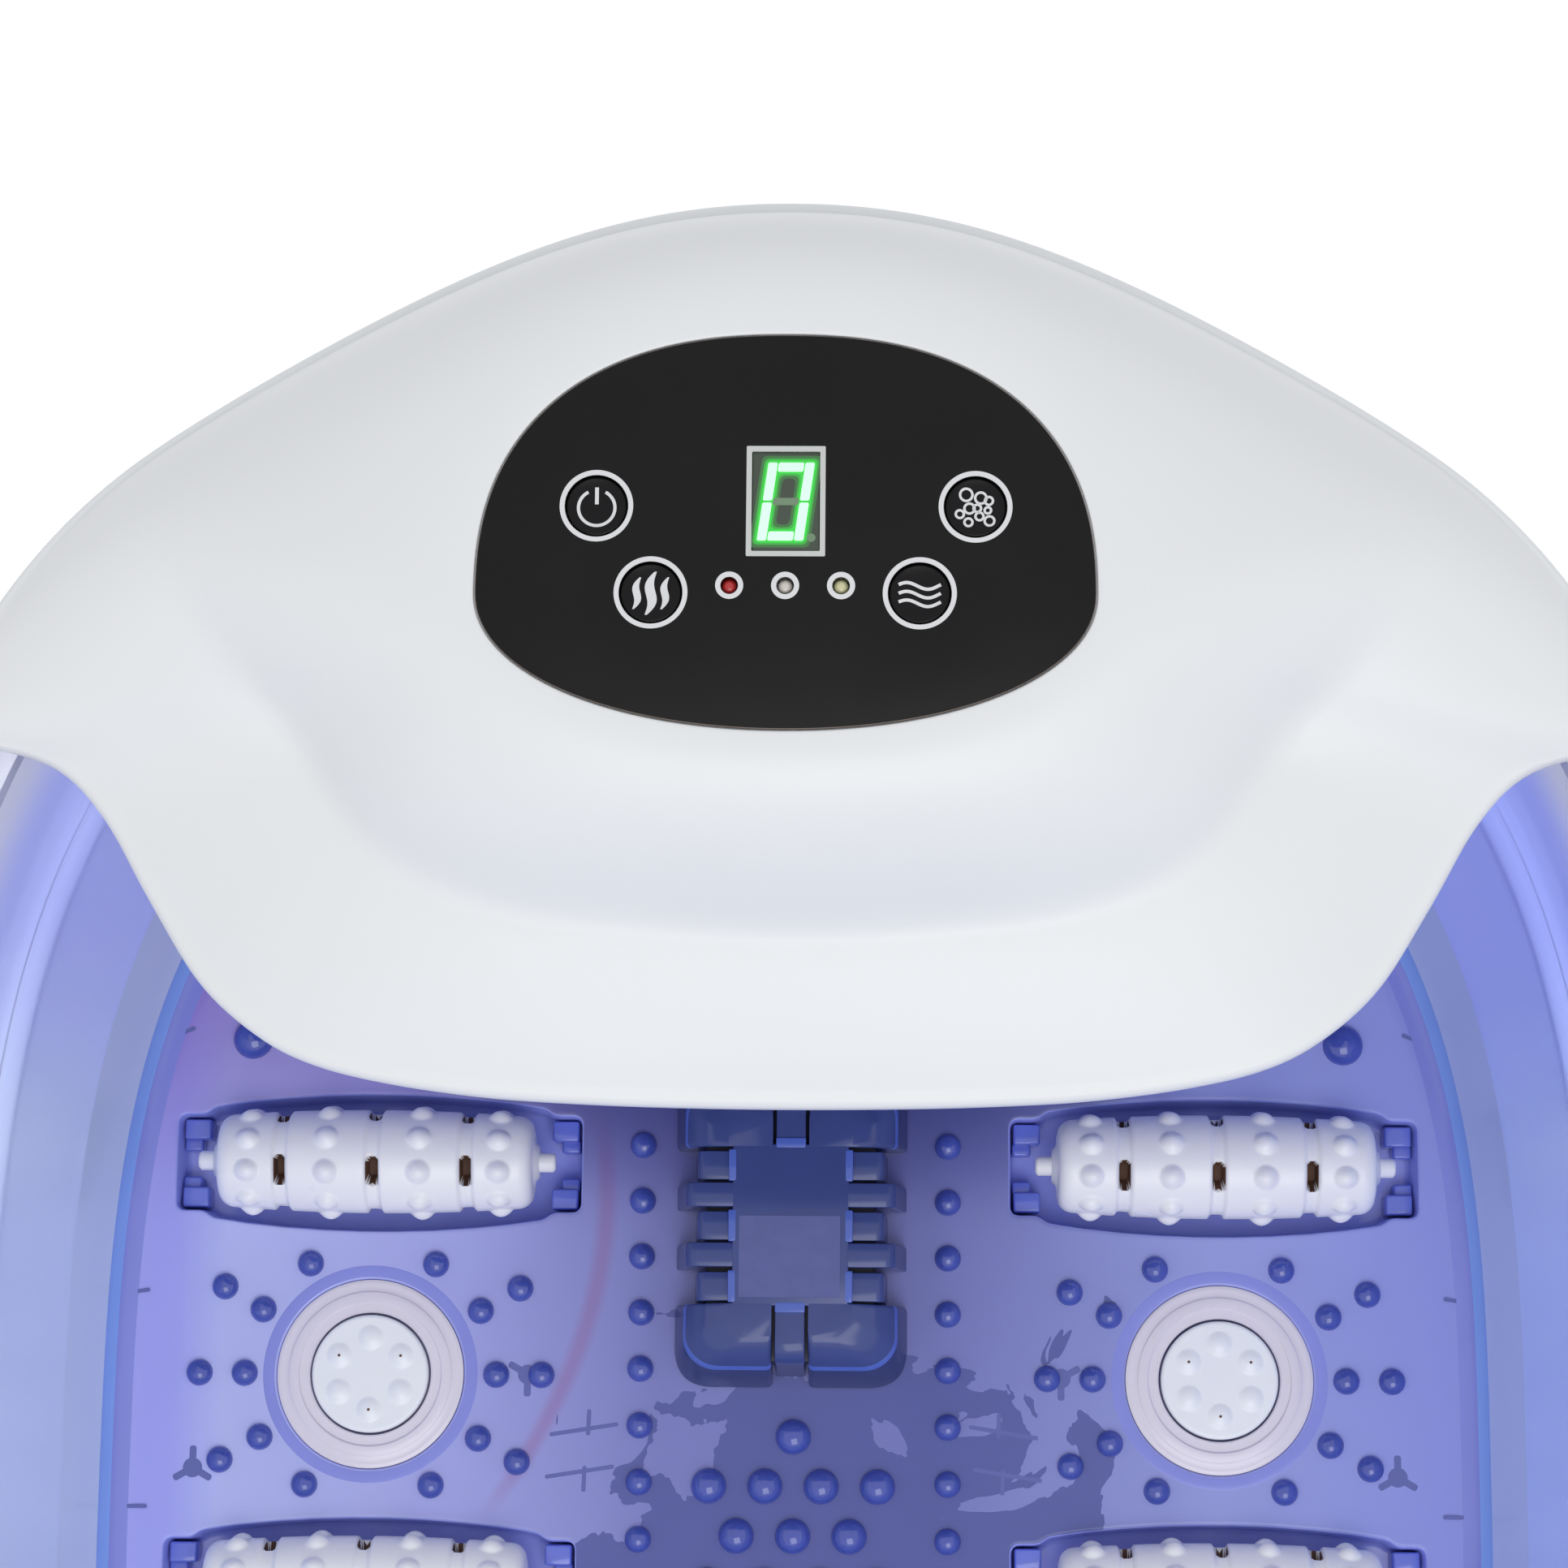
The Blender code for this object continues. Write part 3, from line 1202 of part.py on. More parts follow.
def outer_arc():
    """Right half of the cover's outer edge, from the wing's end to the nose."""
    steps = OUTLINE_SEGMENTS // 4
    places = []
    for k in range(WING_SEGMENT, steps):
        angle = math.pi / 2 * k / steps
        places.append(COVER_HALF_WIDTH * math.cos(angle) ** (2 / OUTLINE_POWER))
    last = places[-1]
    places += [last * k / NOSE_SEGMENTS for k in range(NOSE_SEGMENTS - 1, -1, -1)]
    points = []
    for x in places:
        share = (1 - (x / COVER_HALF_WIDTH) ** OUTLINE_POWER) ** (1 / OUTLINE_POWER)
        points.append(Vector((x, COVER_FRONT_LENGTH * share + nose(x), 0)))
    return points


def nose(x):
    """How far the console's nose stands out beyond the outline."""
    share = min(abs(x) / NOSE_HALF_WIDTH, 1.0)
    return NOSE_LENGTH * math.cos(math.pi / 2 * share) ** 2


def smooth_min(a, b, blend):
    h = max(blend - abs(a - b), 0.0) / blend
    return min(a, b) - h * h * blend / 4


def smooth_max(a, b, blend):
    return -smooth_min(-a, -b, blend)


def smooth_step(value):
    share = max(0.0, min(1.0, value))
    return share * share * (3 - 2 * share)


def lip_height(x):
    """The lip is low in the middle and climbs to the rim at the wings."""
    share = (abs(x) / COVER_HALF_WIDTH - WING_START_SHARE) / (WING_SHARE - WING_START_SHARE)
    return LIP_HEIGHT + (EDGE_HEIGHT - LIP_HEIGHT) * smooth_step(share)


def panel_point(angle, grow=0.0):
    """Point of the egg-shaped panel outline in a direction from its widest line."""
    upper = math.sin(angle) > 0
    reach = (PANEL_TOP_REACH if upper else PANEL_BOTTOM_REACH) + grow
    power = PANEL_TOP_POWER if upper else PANEL_BOTTOM_POWER
    a = abs(math.cos(angle)) / (PANEL_HALF_WIDTH + grow)
    b = abs(math.sin(angle)) / reach
    length = (a ** power + b ** power) ** (-1 / power)
    return Vector((length * math.cos(angle), PANEL_Y + length * math.sin(angle), 0))


def panel_outline(grow, count=OUTLINE_SEGMENTS):
    return [panel_point(2 * math.pi * k / count, grow) for k in range(count)]


def foot_share(start, end, foot):
    """Share of the way from start to end at which the dome's foot is crossed."""
    inner = Vector((abs(start.x), start.y, 0))
    way = Vector((abs(end.x), end.y, 0)) - inner
    for first, second in zip(foot, foot[1:]):
        along = second - first
        turned = way.x * along.y - way.y * along.x
        if abs(turned) < GAP * GAP:
            continue
        offset = first - inner
        share = (offset.x * along.y - offset.y * along.x) / turned
        on_foot = (offset.x * way.y - offset.y * way.x) / turned
        if 0 <= on_foot <= 1 and 0 < share < 1:
            return min(share, FOOT_SHARE_LIMIT)
    return FOOT_SHARE_LIMIT


def ray_shape(start, end, foot):
    """Where a ray from the panel to the cover's edge crosses the dome's foot, how much of a
    crease it has there, and the power of its bulge where the crease has faded."""
    degrees = math.degrees(math.atan2(end.y - PANEL_Y, abs(end.x)))
    crease = 1 - smooth_step((degrees - CREASE_START) / CREASE_FADE)
    turned = smooth_step((degrees - BULGE_START) / BULGE_FADE)
    power = SIDE_BULGE_POWER + (BACK_BULGE_POWER - SIDE_BULGE_POWER) * turned
    return foot_share(start, end, foot), crease, power


def brim_height(share, foot_at, edge):
    """Height of the brim, which falls from the dome's foot to the cover's edge."""
    past = max(0.0, (share - foot_at) / (1 - foot_at))
    return BRIM_HEIGHT - (BRIM_HEIGHT - edge) * past ** BRIM_POWER


def ray_height(share, shape, edge):
    """Height of the cover's skin at a share of the way along a ray."""
    foot_at, crease, power = shape
    if share > foot_at:
        dome = CREASE_HEIGHT - 2 * DOME_RISE * (share / foot_at - 1)
    else:
        dome = CREASE_HEIGHT + DOME_RISE * (1 - (share / foot_at) ** 2)
    front = smooth_max(dome, brim_height(share, foot_at, edge), CREASE_BLEND)
    back = edge + (PANEL_HEIGHT - edge) * (1 - share ** power) ** (1 / power)
    return crease * front + (1 - crease) * back


def cover_boundary():
    """The cover's edge, counterclockwise from the middle of its lip, with each point's
    kind: lip, wing or outer."""
    lip = to_points(LIP_SHARES)
    arc = outer_arc()
    right = [(point, "lip") for point in lip]
    right.append(((lip[-1] + arc[0]) / 2, "wing"))
    right.append((arc[0], "wing"))
    right += [(point, "outer") for point in arc[1:]]
    left = [(Vector((-point.x, point.y, 0)), kind) for point, kind in reversed(right[1:-1])]
    return right + left


def cover_rays():
    """Rays from the panel to the cover's edge: both ends, shape, edge height and kind."""
    foot = to_points(DOME_FOOT_SHARES)
    rays = []
    for end, kind in cover_boundary():
        start = panel_point(math.atan2(end.y - PANEL_Y, end.x), PANEL_MARGIN)
        edge = lip_height(end.x) if kind == "lip" else EDGE_HEIGHT
        rays.append((start, end, ray_shape(start, end, foot), edge, kind))
    return rays


def cover_height(x, y):
    """Height of the cover's skin above a place, from the ray that passes nearest to it."""
    spot = Vector((x, y, 0))
    found = []
    for start, end, shape, edge, _ in cover_rays():
        share = max(0.0, min(1.0, intersect_point_line(spot, start, end)[1]))
        found.append(((spot - start.lerp(end, share)).length, share, shape, edge))
    _, share, shape, edge = min(found)
    return ray_height(share, shape, edge)


def ring_shares(foot_at):
    inner = [share * foot_at for share in DOME_RING_SHARES]
    return inner + [foot_at + share * (1 - foot_at) for share in BRIM_RING_SHARES]


def cover_rings():
    """Rings from the panel out to the cover's edge and down its skirt."""
    columns = []
    for start, end, shape, edge, kind in cover_rays():
        column = [(start.x, start.y, PANEL_HEIGHT)]
        for share in ring_shares(shape[0]):
            spot = start.lerp(end, share)
            column.append((spot.x, spot.y, ray_height(share, shape, edge)))
        hem = {"lip": edge - LIP_DROP, "wing": RIM_HEIGHT + FIT_GAP,
               "outer": RIM_HEIGHT - RIM_DROP}[kind]
        column += [(end.x, end.y, edge), (end.x, end.y, hem)]
        columns.append(column)
    return list(zip(*columns))


def panel_hole_mesh():
    """Holes for the buttons, the display and the lamps."""
    low = UNDER_PANEL - OVERRUN
    high = PANEL_HEIGHT + OVERRUN
    holes = [cylinder_mesh("button_hole", BUTTON_RADIUS + GAP, low, high, BUTTON_STEPS, spot)
             for spot in button_places().values()]
    holes += [cylinder_mesh("lamp_hole", LED_RADIUS + GAP, low, high, LED_STEPS, spot)
              for spot in led_places().values()]
    half_x = DISPLAY_WIDTH / 2 + GAP
    half_y = DISPLAY_LENGTH / 2 + GAP
    holes.append(span_mesh("display_hole", (-half_x, DISPLAY_Y - half_y, low),
                           (half_x, DISPLAY_Y + half_y, high)))
    return joined_mesh("panel_holes", holes)


def button_places():
    upper_y = PANEL_Y + UPPER_BUTTON_RISE
    return {
        "power": (-UPPER_BUTTON_X, upper_y),
        "bubble": (UPPER_BUTTON_X, upper_y),
        "heating": (-LOWER_BUTTON_X, PANEL_Y),
        "vibration": (LOWER_BUTTON_X, PANEL_Y),
    }


def led_places():
    return {
        "heating": (-LED_PITCH, LED_Y),
        "bubble": (0, LED_Y),
        "vibration": (LED_PITCH, LED_Y),
    }


def make_cover(material, holes):
    cover = part("top_cover", loft_mesh("top_cover", cover_rings(), cap_first=True), material)
    cover.data.flip_normals()
    solidify(cover, COVER_WALL)
    bosses = [cylinder_mesh("rim_boss", COVER_BOSS_RADIUS, RIM_HEIGHT + GAP,
                            cover_height(*spot) - COVER_WALL / 2,
                            SCREW_SIDES, spot)
              for spot in cover_screw_places()]
    bosses += [cylinder_mesh("board_boss", BOARD_BOSS_RADIUS, BOARD_TOP + GAP,
                             UNDER_PANEL + (OVERLAY_FLOOR - UNDER_PANEL) / 2, SCREW_SIDES, spot)
               for spot in board_screw_places()]
    join(cover, cutter("cover_bosses", joined_mesh("cover_bosses", bosses)))
    plan = [(p.x, p.y) for p in panel_outline(GAP)]
    recess = prism_mesh("panel_recess", plan, OVERLAY_FLOOR, PANEL_HEIGHT + OVERRUN)
    cut(cover, cutter("panel_recess", recess))
    cut(cover, holes)
    pilot_top = RIM_HEIGHT - BASIN_WALL + COVER_SCREW_LENGTH
    cut(cover, cutter("rim_boss_pilots", pilot_mesh(cover_screw_places(),
                                                    RIM_HEIGHT - OVERRUN, pilot_top)))
    board_pilot_top = BOARD_TOP - BOARD_THICKNESS + BOARD_SCREW_LENGTH
    cut(cover, cutter("board_boss_pilots", pilot_mesh(board_screw_places(),
                                                      BOARD_TOP - OVERRUN, board_pilot_top)))
    return cover


def tray_rings():
    """Rings from the middle of the console out over the brim, below the cover."""
    drop = COVER_WALL + TRAY_GAP
    columns = []
    for start, end, (foot_at, _, _), edge, _ in cover_rays()[::2]:
        inner = panel_point(math.atan2(end.y - PANEL_Y, end.x), -PANEL_MARGIN)
        column = [(inner.x, inner.y, BRIM_HEIGHT - drop)]
        for share in TRAY_RING_SHARES:
            spot = start.lerp(end, share)
            column.append((spot.x, spot.y, brim_height(share, foot_at, edge) - drop))
        columns.append(column)
    return list(zip(*columns))


def make_tray(material):
    tray = part("console_tray", loft_mesh("console_tray", tray_rings(), cap_first=True), material)
    tray.data.flip_normals()
    solidify(tray, TRAY_WALL)
    half = LEAD_RADIUS + FIT_GAP
    notch = span_mesh("lead_notch", (-half, RIM_FRONT_LENGTH - LEAD_NOTCH_INSET, RIM_HEIGHT),
                      (half, NOSE_Y, BRIM_HEIGHT))
    return cut(tray, cutter("lead_notch", notch))


def make_overlay(material, holes):
    plan = [(p.x, p.y) for p in panel_outline(0.0)]
    mesh = prism_mesh("control_overlay", plan, PANEL_HEIGHT - OVERLAY_THICKNESS, PANEL_HEIGHT)
    return cut(part("control_overlay", mesh, material), holes)


def make_buttons(material):
    """Dished caps whose stems reach into the switches; each origin is on its own axis."""
    switch_top = BOARD_TOP + GAP + SWITCH_HEIGHT
    stem_bottom = switch_top - SWITCH_WELL_DEPTH + GAP + BUTTON_TRAVEL
    flange_top = UNDER_PANEL - GAP
    cap_top = PANEL_HEIGHT - BUTTON_RECESS
    profile = (
        (0, cap_top - BUTTON_RECESS),
        (BUTTON_RADIUS - BUTTON_RECESS * 2, cap_top - BUTTON_RECESS / 2),
        (BUTTON_RADIUS, cap_top),
        (BUTTON_RADIUS, flange_top),
        (BUTTON_FLANGE_RADIUS, flange_top),
        (BUTTON_FLANGE_RADIUS, flange_top - BUTTON_FLANGE),
        (BUTTON_STEM_RADIUS, flange_top - BUTTON_FLANGE),
        (BUTTON_STEM_RADIUS, stem_bottom),
        (0, stem_bottom),
    )
    mesh = profile_mesh("button", [(r, z - PANEL_HEIGHT) for r, z in profile])
    mesh.materials.append(material)
    for name, (x, y) in button_places().items():
        turn(part(f"{name}_button", mesh, None, (x, y, PANEL_HEIGHT)), BUTTON_STEPS)


def make_switches(material):
    bottom = BOARD_TOP + GAP
    top = bottom + SWITCH_HEIGHT
    for name, (x, y) in button_places().items():
        half = SWITCH_SIZE / 2
        switch = part(f"{name}_switch", span_mesh("switch", (x - half, y - half, bottom),
                                                  (x + half, y + half, top)), material)
        well = cylinder_mesh("well", BUTTON_STEM_RADIUS + GAP, top - SWITCH_WELL_DEPTH,
                             top + OVERRUN, BUTTON_STEPS, (x, y))
        cut(switch, cutter(f"{name}_switch_well", well))


def make_display(material):
    low = (-DISPLAY_WIDTH / 2, DISPLAY_Y - DISPLAY_LENGTH / 2, BOARD_TOP + GAP)
    high = (DISPLAY_WIDTH / 2, DISPLAY_Y + DISPLAY_LENGTH / 2, PANEL_HEIGHT - DISPLAY_RECESS)
    part("digit_display", span_mesh("digit_display", low, high), material)


def make_leds(materials):
    top = PANEL_HEIGHT - LED_RECESS
    collar_top = UNDER_PANEL - GAP
    profile = (
        (0, top),
        (LED_RADIUS * LED_SHOULDER_SHARE, top - LED_RADIUS * (1 - LED_SHOULDER_SHARE)),
        (LED_RADIUS, top - LED_RADIUS),
        (LED_RADIUS, collar_top),
        (LED_COLLAR_RADIUS, collar_top),
        (LED_COLLAR_RADIUS, BOARD_TOP + GAP),
        (0, BOARD_TOP + GAP),
    )
    for (name, (x, y)), material in zip(led_places().items(), materials):
        led = part(f"{name}_lamp", profile_mesh(f"{name}_lamp", profile), material, (x, y, 0))
        turn(led, LED_STEPS)


def make_control_board(material):
    low = (-BOARD_HALF_WIDTH, PANEL_Y - BOARD_FRONT_REACH, BOARD_TOP - BOARD_THICKNESS)
    high = (BOARD_HALF_WIDTH, PANEL_Y + BOARD_BACK_REACH, BOARD_TOP)
    board = part("control_board", span_mesh("control_board", low, high), material)
    cut(board, cutter("board_holes", pilot_mesh(board_screw_places(),
                                                low[2] - OVERRUN, high[2] + OVERRUN)))


def duct_outline(half_width, start, depth, height, inset=0.0, overrun=0.0):
    """Half-round plan of the duct, open side towards the basin."""
    points = []
    half = half_width - inset
    for k in range(DUCT_SIDES + 1):
        angle = math.pi * k / DUCT_SIDES
        x = half * signed_power(math.cos(angle), 2 / OUTLINE_POWER)
        y = start + (depth - inset) * math.sin(angle) ** (2 / OUTLINE_POWER)
        points.append((x, y, height))
    points.append((-half, start - overrun - half_width, height))
    points.append((half, start - overrun - half_width, height))
    return points


def duct_rings(inset=0.0, extra=0.0):
    """Bottom and top plan of the duct, or of its hollow."""
    top = RIM_HEIGHT - RIM_DROP - GAP
    top_start = NOSE_Y - DUCT_TOP_INSET - DUCT_TOP_DEPTH
    bottom_start = top_start - DUCT_FLARE + (DUCT_TOP_DEPTH - DUCT_BOTTOM_DEPTH)
    low = DUCT_BOTTOM + inset
    lean = (top_start - bottom_start) / (top - DUCT_BOTTOM)
    start = bottom_start + lean * (low - DUCT_BOTTOM)
    return (duct_outline(DUCT_BOTTOM_HALF_WIDTH, start, DUCT_BOTTOM_DEPTH, low, inset, extra),
            duct_outline(DUCT_TOP_HALF_WIDTH, top_start + lean * extra, DUCT_TOP_DEPTH,
                         top + extra, inset, extra))


def make_duct(material):
    duct = part("lead_duct", loft_mesh("lead_duct", duct_rings(), True, True), material)
    hollow = loft_mesh("duct_hollow", duct_rings(DUCT_WALL, OVERRUN), True, True)
    cut(duct, cutter("duct_hollow", hollow))
    clear = FIT_GAP
    rings = basin_rings(BASIN_WALL + clear)
    body = rings[:4] + [outline(*outset(wall_sizes(RIM_HEIGHT), BASIN_WALL + clear),
                                RIM_HEIGHT + RIM_DROP)]
    cut(duct, cutter("basin_envelope", loft_mesh("basin_envelope", body, True, True)))
    below = pan_rings(clear) + [outline(*outset(pan_sizes(), clear), PAN_TOP + OVERRUN)]
    cut(duct, cutter("pan_envelope", loft_mesh("pan_envelope", below, True, True)))
    return duct


def make_pump(material):
    bottom = PAN_FLOOR + GAP
    body = box_mesh("air_pump", 2 * PUMP_HALF_WIDTH, 2 * PUMP_HALF_LENGTH, PUMP_HEIGHT,
                    (0, PUMP_Y, bottom + PUMP_HEIGHT / 2), PUMP_BEVEL)
    pump = part("air_pump", body, material)
    ports = []
    height = bottom + PUMP_HEIGHT / 2
    for x in (-PUMP_PORT_X, PUMP_PORT_X):
        port = cylinder_mesh("port", PUMP_PORT_RADIUS, -PUMP_PORT_LENGTH, PUMP_PORT_LENGTH,
                             SCREW_SIDES)
        port.transform(Matrix.Rotation(math.pi / 2, 4, "X"))
        port.transform(Matrix.Translation((x, PUMP_Y + PUMP_HALF_LENGTH, height)))
        ports.append(port)
    join(pump, cutter("pump_ports", joined_mesh("pump_ports", ports)))
    return height


def make_hoses(material, port_height):
    start_y = PUMP_Y + PUMP_HALF_LENGTH + PUMP_PORT_LENGTH + GAP
    nozzle_end = FLOOR_HEIGHT - SOCKET_DEPTH - SOCKET_FLOOR - NOZZLE_LENGTH - GAP
    reach = DISC_X - PUMP_PORT_X
    run = DISC_Y - start_y
    rise = nozzle_end - port_height
    for name, side in (("left", -1), ("right", 1)):
        route = [(side * (PUMP_PORT_X + across * reach), start_y + along * run,
                  port_height + up * rise) for across, along, up in HOSE_SHARES]
        tube(f"air_hose_{name}", smooth_curve(route, HOSE_POINTS), HOSE_RADIUS, material)


def make_motor(case, steel, bracket_material, brass):
    """Motor across the middle in a bracket under the floor; the weight turns on its shaft."""
    height = MOTOR_HEIGHT
    half = MOTOR_LENGTH / 2
    quarter = (0, math.pi / 2, 0)
    motor = part("vibration_motor", cylinder_mesh("vibration_motor", MOTOR_RADIUS, -half, half,
                                                  MOTOR_SIDES), case, (0, MOTOR_Y, height), quarter)
    seat = cylinder_mesh("shaft_seat", MOTOR_SHAFT_RADIUS + GAP, half - MOTOR_SHAFT_SEAT,
                         half + OVERRUN, SCREW_SIDES)
    cut(motor, cutter("shaft_seat", seat, (0, MOTOR_Y, height), quarter))
    low = half - MOTOR_SHAFT_SEAT + GAP
    part("motor_shaft", cylinder_mesh("motor_shaft", MOTOR_SHAFT_RADIUS, low,
                                      half + MOTOR_SHAFT_REACH, SCREW_SIDES), steel,
         (0, MOTOR_Y, height), quarter)
    start = half + WEIGHT_STANDOFF
    end = start + WEIGHT_THICKNESS
    weight = part("eccentric_weight", cylinder_mesh("eccentric_weight", WEIGHT_RADIUS, start, end,
                                                    MOTOR_SIDES), brass, (0, MOTOR_Y, height), quarter)
    trim = span_mesh("weight_trim", (-WEIGHT_RADIUS * 2, -WEIGHT_RADIUS * 2, start - OVERRUN),
                     (0, WEIGHT_RADIUS * 2, end + OVERRUN))
    cut(weight, cutter("weight_trim", trim, (0, MOTOR_Y, height), quarter))
    hub = cylinder_mesh("weight_hub", WEIGHT_HUB_RADIUS, start, end, MOTOR_SIDES)
    join(weight, cutter("weight_hub", hub, (0, MOTOR_Y, height), quarter))
    bore = cylinder_mesh("weight_bore", MOTOR_SHAFT_RADIUS + GAP, start - OVERRUN, end + OVERRUN,
                         SCREW_SIDES)
    cut(weight, cutter("weight_bore", bore, (0, MOTOR_Y, height), quarter))
    bottom = height - MOTOR_RADIUS - BASIN_WALL
    bracket = part("motor_bracket", span_mesh("motor_bracket",
                   (-BRACKET_LENGTH / 2, MOTOR_Y - BRACKET_HALF_WIDTH, bottom),
                   (BRACKET_LENGTH / 2, MOTOR_Y + BRACKET_HALF_WIDTH, UNDER_FLOOR - GAP)),
                   bracket_material)
    hole = cylinder_mesh("motor_hole", MOTOR_RADIUS + GAP, -BRACKET_LENGTH, BRACKET_LENGTH,
                         MOTOR_SIDES)
    cut(bracket, cutter("motor_hole", hole, (0, MOTOR_Y, height), quarter))


def make_power_board(material):
    bottom = PAN_FLOOR + POWER_POST_HEIGHT + GAP
    top = bottom + BOARD_THICKNESS
    half_x = POWER_BOARD_WIDTH / 2
    half_y = POWER_BOARD_LENGTH / 2
    board = part("power_board", span_mesh("power_board",
                 (POWER_BOARD_X - half_x, POWER_BOARD_Y - half_y, bottom),
                 (POWER_BOARD_X + half_x, POWER_BOARD_Y + half_y, top)), material)
    sunk = bottom + BOARD_THICKNESS / 2
    block_x = POWER_BOARD_X + half_x - TRANSFORMER_SIZE / 2 - CAPACITOR_RADIUS
    side = TRANSFORMER_SIZE / 2
    block = span_mesh("transformer", (block_x - side, POWER_BOARD_Y - side, sunk),
                      (block_x + side, POWER_BOARD_Y + side, top + TRANSFORMER_SIZE))
    can = cylinder_mesh("capacitor", CAPACITOR_RADIUS, sunk, top + CAPACITOR_HEIGHT,
                        centre=(POWER_BOARD_X - CAPACITOR_RADIUS, POWER_BOARD_Y))
    join(board, cutter("board_parts", joined_mesh("board_parts", (block, can))))
    return top


def make_lead(material, board_top):
    """Lead from the control board over the rim, down the duct and into the base."""
    board_end = PANEL_Y + BOARD_BACK_REACH
    start_z = BOARD_TOP - BOARD_THICKNESS - GAP
    rim_y = RIM_FRONT_LENGTH + FIT_GAP + LEAD_RADIUS * 2
    over_rim = RIM_HEIGHT + LEAD_RADIUS * 3
    slot_z = (LEAD_SLOT_BOTTOM + LEAD_SLOT_TOP) / 2
    pan_front = pan_sizes()[1]
    route = (
        (0, board_end - LEAD_RADIUS * 3, start_z),
        (0, board_end - LEAD_RADIUS * 3, start_z - LEAD_RADIUS * 2),
        (0, (board_end + rim_y) / 2, (start_z + over_rim) / 2),
        (0, rim_y - LEAD_RADIUS, over_rim),
        (0, rim_y, RIM_HEIGHT - RIM_DROP),
        (0, (rim_y + pan_front) / 2 + LEAD_RADIUS, (RIM_HEIGHT + PAN_TOP) / 2),
        (0, pan_front + LEAD_RADIUS * 3, PAN_TOP),
        (0, pan_front + LEAD_RADIUS * 1.5, slot_z + LEAD_RADIUS * 2),
        (0, pan_front - PAN_TAPER - LEAD_RADIUS * 4, slot_z),
        (0, (pan_front + POWER_BOARD_Y) / 2, slot_z - LEAD_RADIUS * 3),
        (POWER_BOARD_X - POWER_BOARD_WIDTH / 2 + LEAD_RADIUS * 2,
         POWER_BOARD_Y + POWER_BOARD_LENGTH / 2 - LEAD_RADIUS, board_top + LEAD_RADIUS * 3),
        (POWER_BOARD_X - POWER_BOARD_WIDTH / 2 + LEAD_RADIUS * 3,
         POWER_BOARD_Y + POWER_BOARD_LENGTH / 4, board_top + LEAD_RADIUS + GAP),
    )
    tube("console_lead", smooth_curve(route, LEAD_POINTS), LEAD_RADIUS, material)


def make_gland(material):
    spot, turn_to = gland_frame()
    inner = -PAN_WALL - FIT_GAP
    outer = FIT_GAP
    gland = part("cord_gland", profile_mesh("cord_gland", (
        (GLAND_BORE_RADIUS, outer + GLAND_FLANGE * 2),
        (GLAND_RADIUS, outer + GLAND_FLANGE * 2),
        (GLAND_FLANGE_RADIUS, outer + GLAND_FLANGE),
        (GLAND_FLANGE_RADIUS, outer),
        (GLAND_RADIUS, outer),
        (GLAND_RADIUS, inner),
        (GLAND_FLANGE_RADIUS, inner),
        (GLAND_FLANGE_RADIUS, inner - GLAND_FLANGE),
        (GLAND_BORE_RADIUS, inner - GLAND_FLANGE),
    ), closed=True), material, spot, turn_to)
    turn(gland, GLAND_STEPS)


def build():
    made = {name: make_material(name, *look) for name, look in MATERIALS.items()}
    white, blue, black = made["white_plastic"], made["blue_plastic"], made["black_plastic"]
    clear, grey, rubber = made["clear_plastic"], made["grey_plastic"], made["rubber"]
    board, steel = made["board"], made["steel"]
    lamps = [made["lamp_red"], made["lamp_clear"], made["lamp_yellow"]]

    clamp_bottom = make_heater(steel, rubber, steel, grey)
    make_pan(white, clamp_bottom)
    make_feet(rubber)
    make_basin(blue)
    holes = cutter("panel_holes", panel_hole_mesh())
    make_cover(white, holes)
    make_tray(white)
    make_duct(white)
    make_overlay(black, holes)
    make_buttons(black)
    make_switches(black)
    make_display(made["display"])
    make_leds(lamps)
    make_control_board(board)
    make_rollers(white)
    make_discs(white, clear)
    make_guard(made["deep_blue_plastic"])
    port_height = make_pump(grey)
    make_hoses(clear, port_height)
    make_motor(grey, steel, grey, made["brass"])
    board_top = make_power_board(board)
    make_lead(rubber, board_top)
    make_gland(white)
    base_seat = FOOT_HEIGHT + POST_FLOOR + SCREW_HEAD_HEIGHT
    make_screws("base_screw", base_screw_places(), base_seat, BASE_SCREW_LENGTH, steel)
    make_screws("cover_screw", cover_screw_places(), RIM_HEIGHT - BASIN_WALL - GAP,
                COVER_SCREW_LENGTH, steel)
    make_screws("board_screw", board_screw_places(), BOARD_TOP - BOARD_THICKNESS - GAP,
                BOARD_SCREW_LENGTH, steel)


clear_scene()
make_collection(PARTS)
make_collection(CUTTERS)
FRAME = bpy.data.objects.new("basin_frame", None)
FRAME.location = (0, BASIN_Y, 0)
bpy.data.collections[PARTS].objects.link(FRAME)
build()
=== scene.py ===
from itertools import product
from math import atan2, copysign, cos, degrees, hypot, pi, radians, sin, sqrt

import bmesh
import bpy
from mathutils import Matrix, Vector
from mathutils.geometry import delaunay_2d_cdt, intersect_line_line_2d


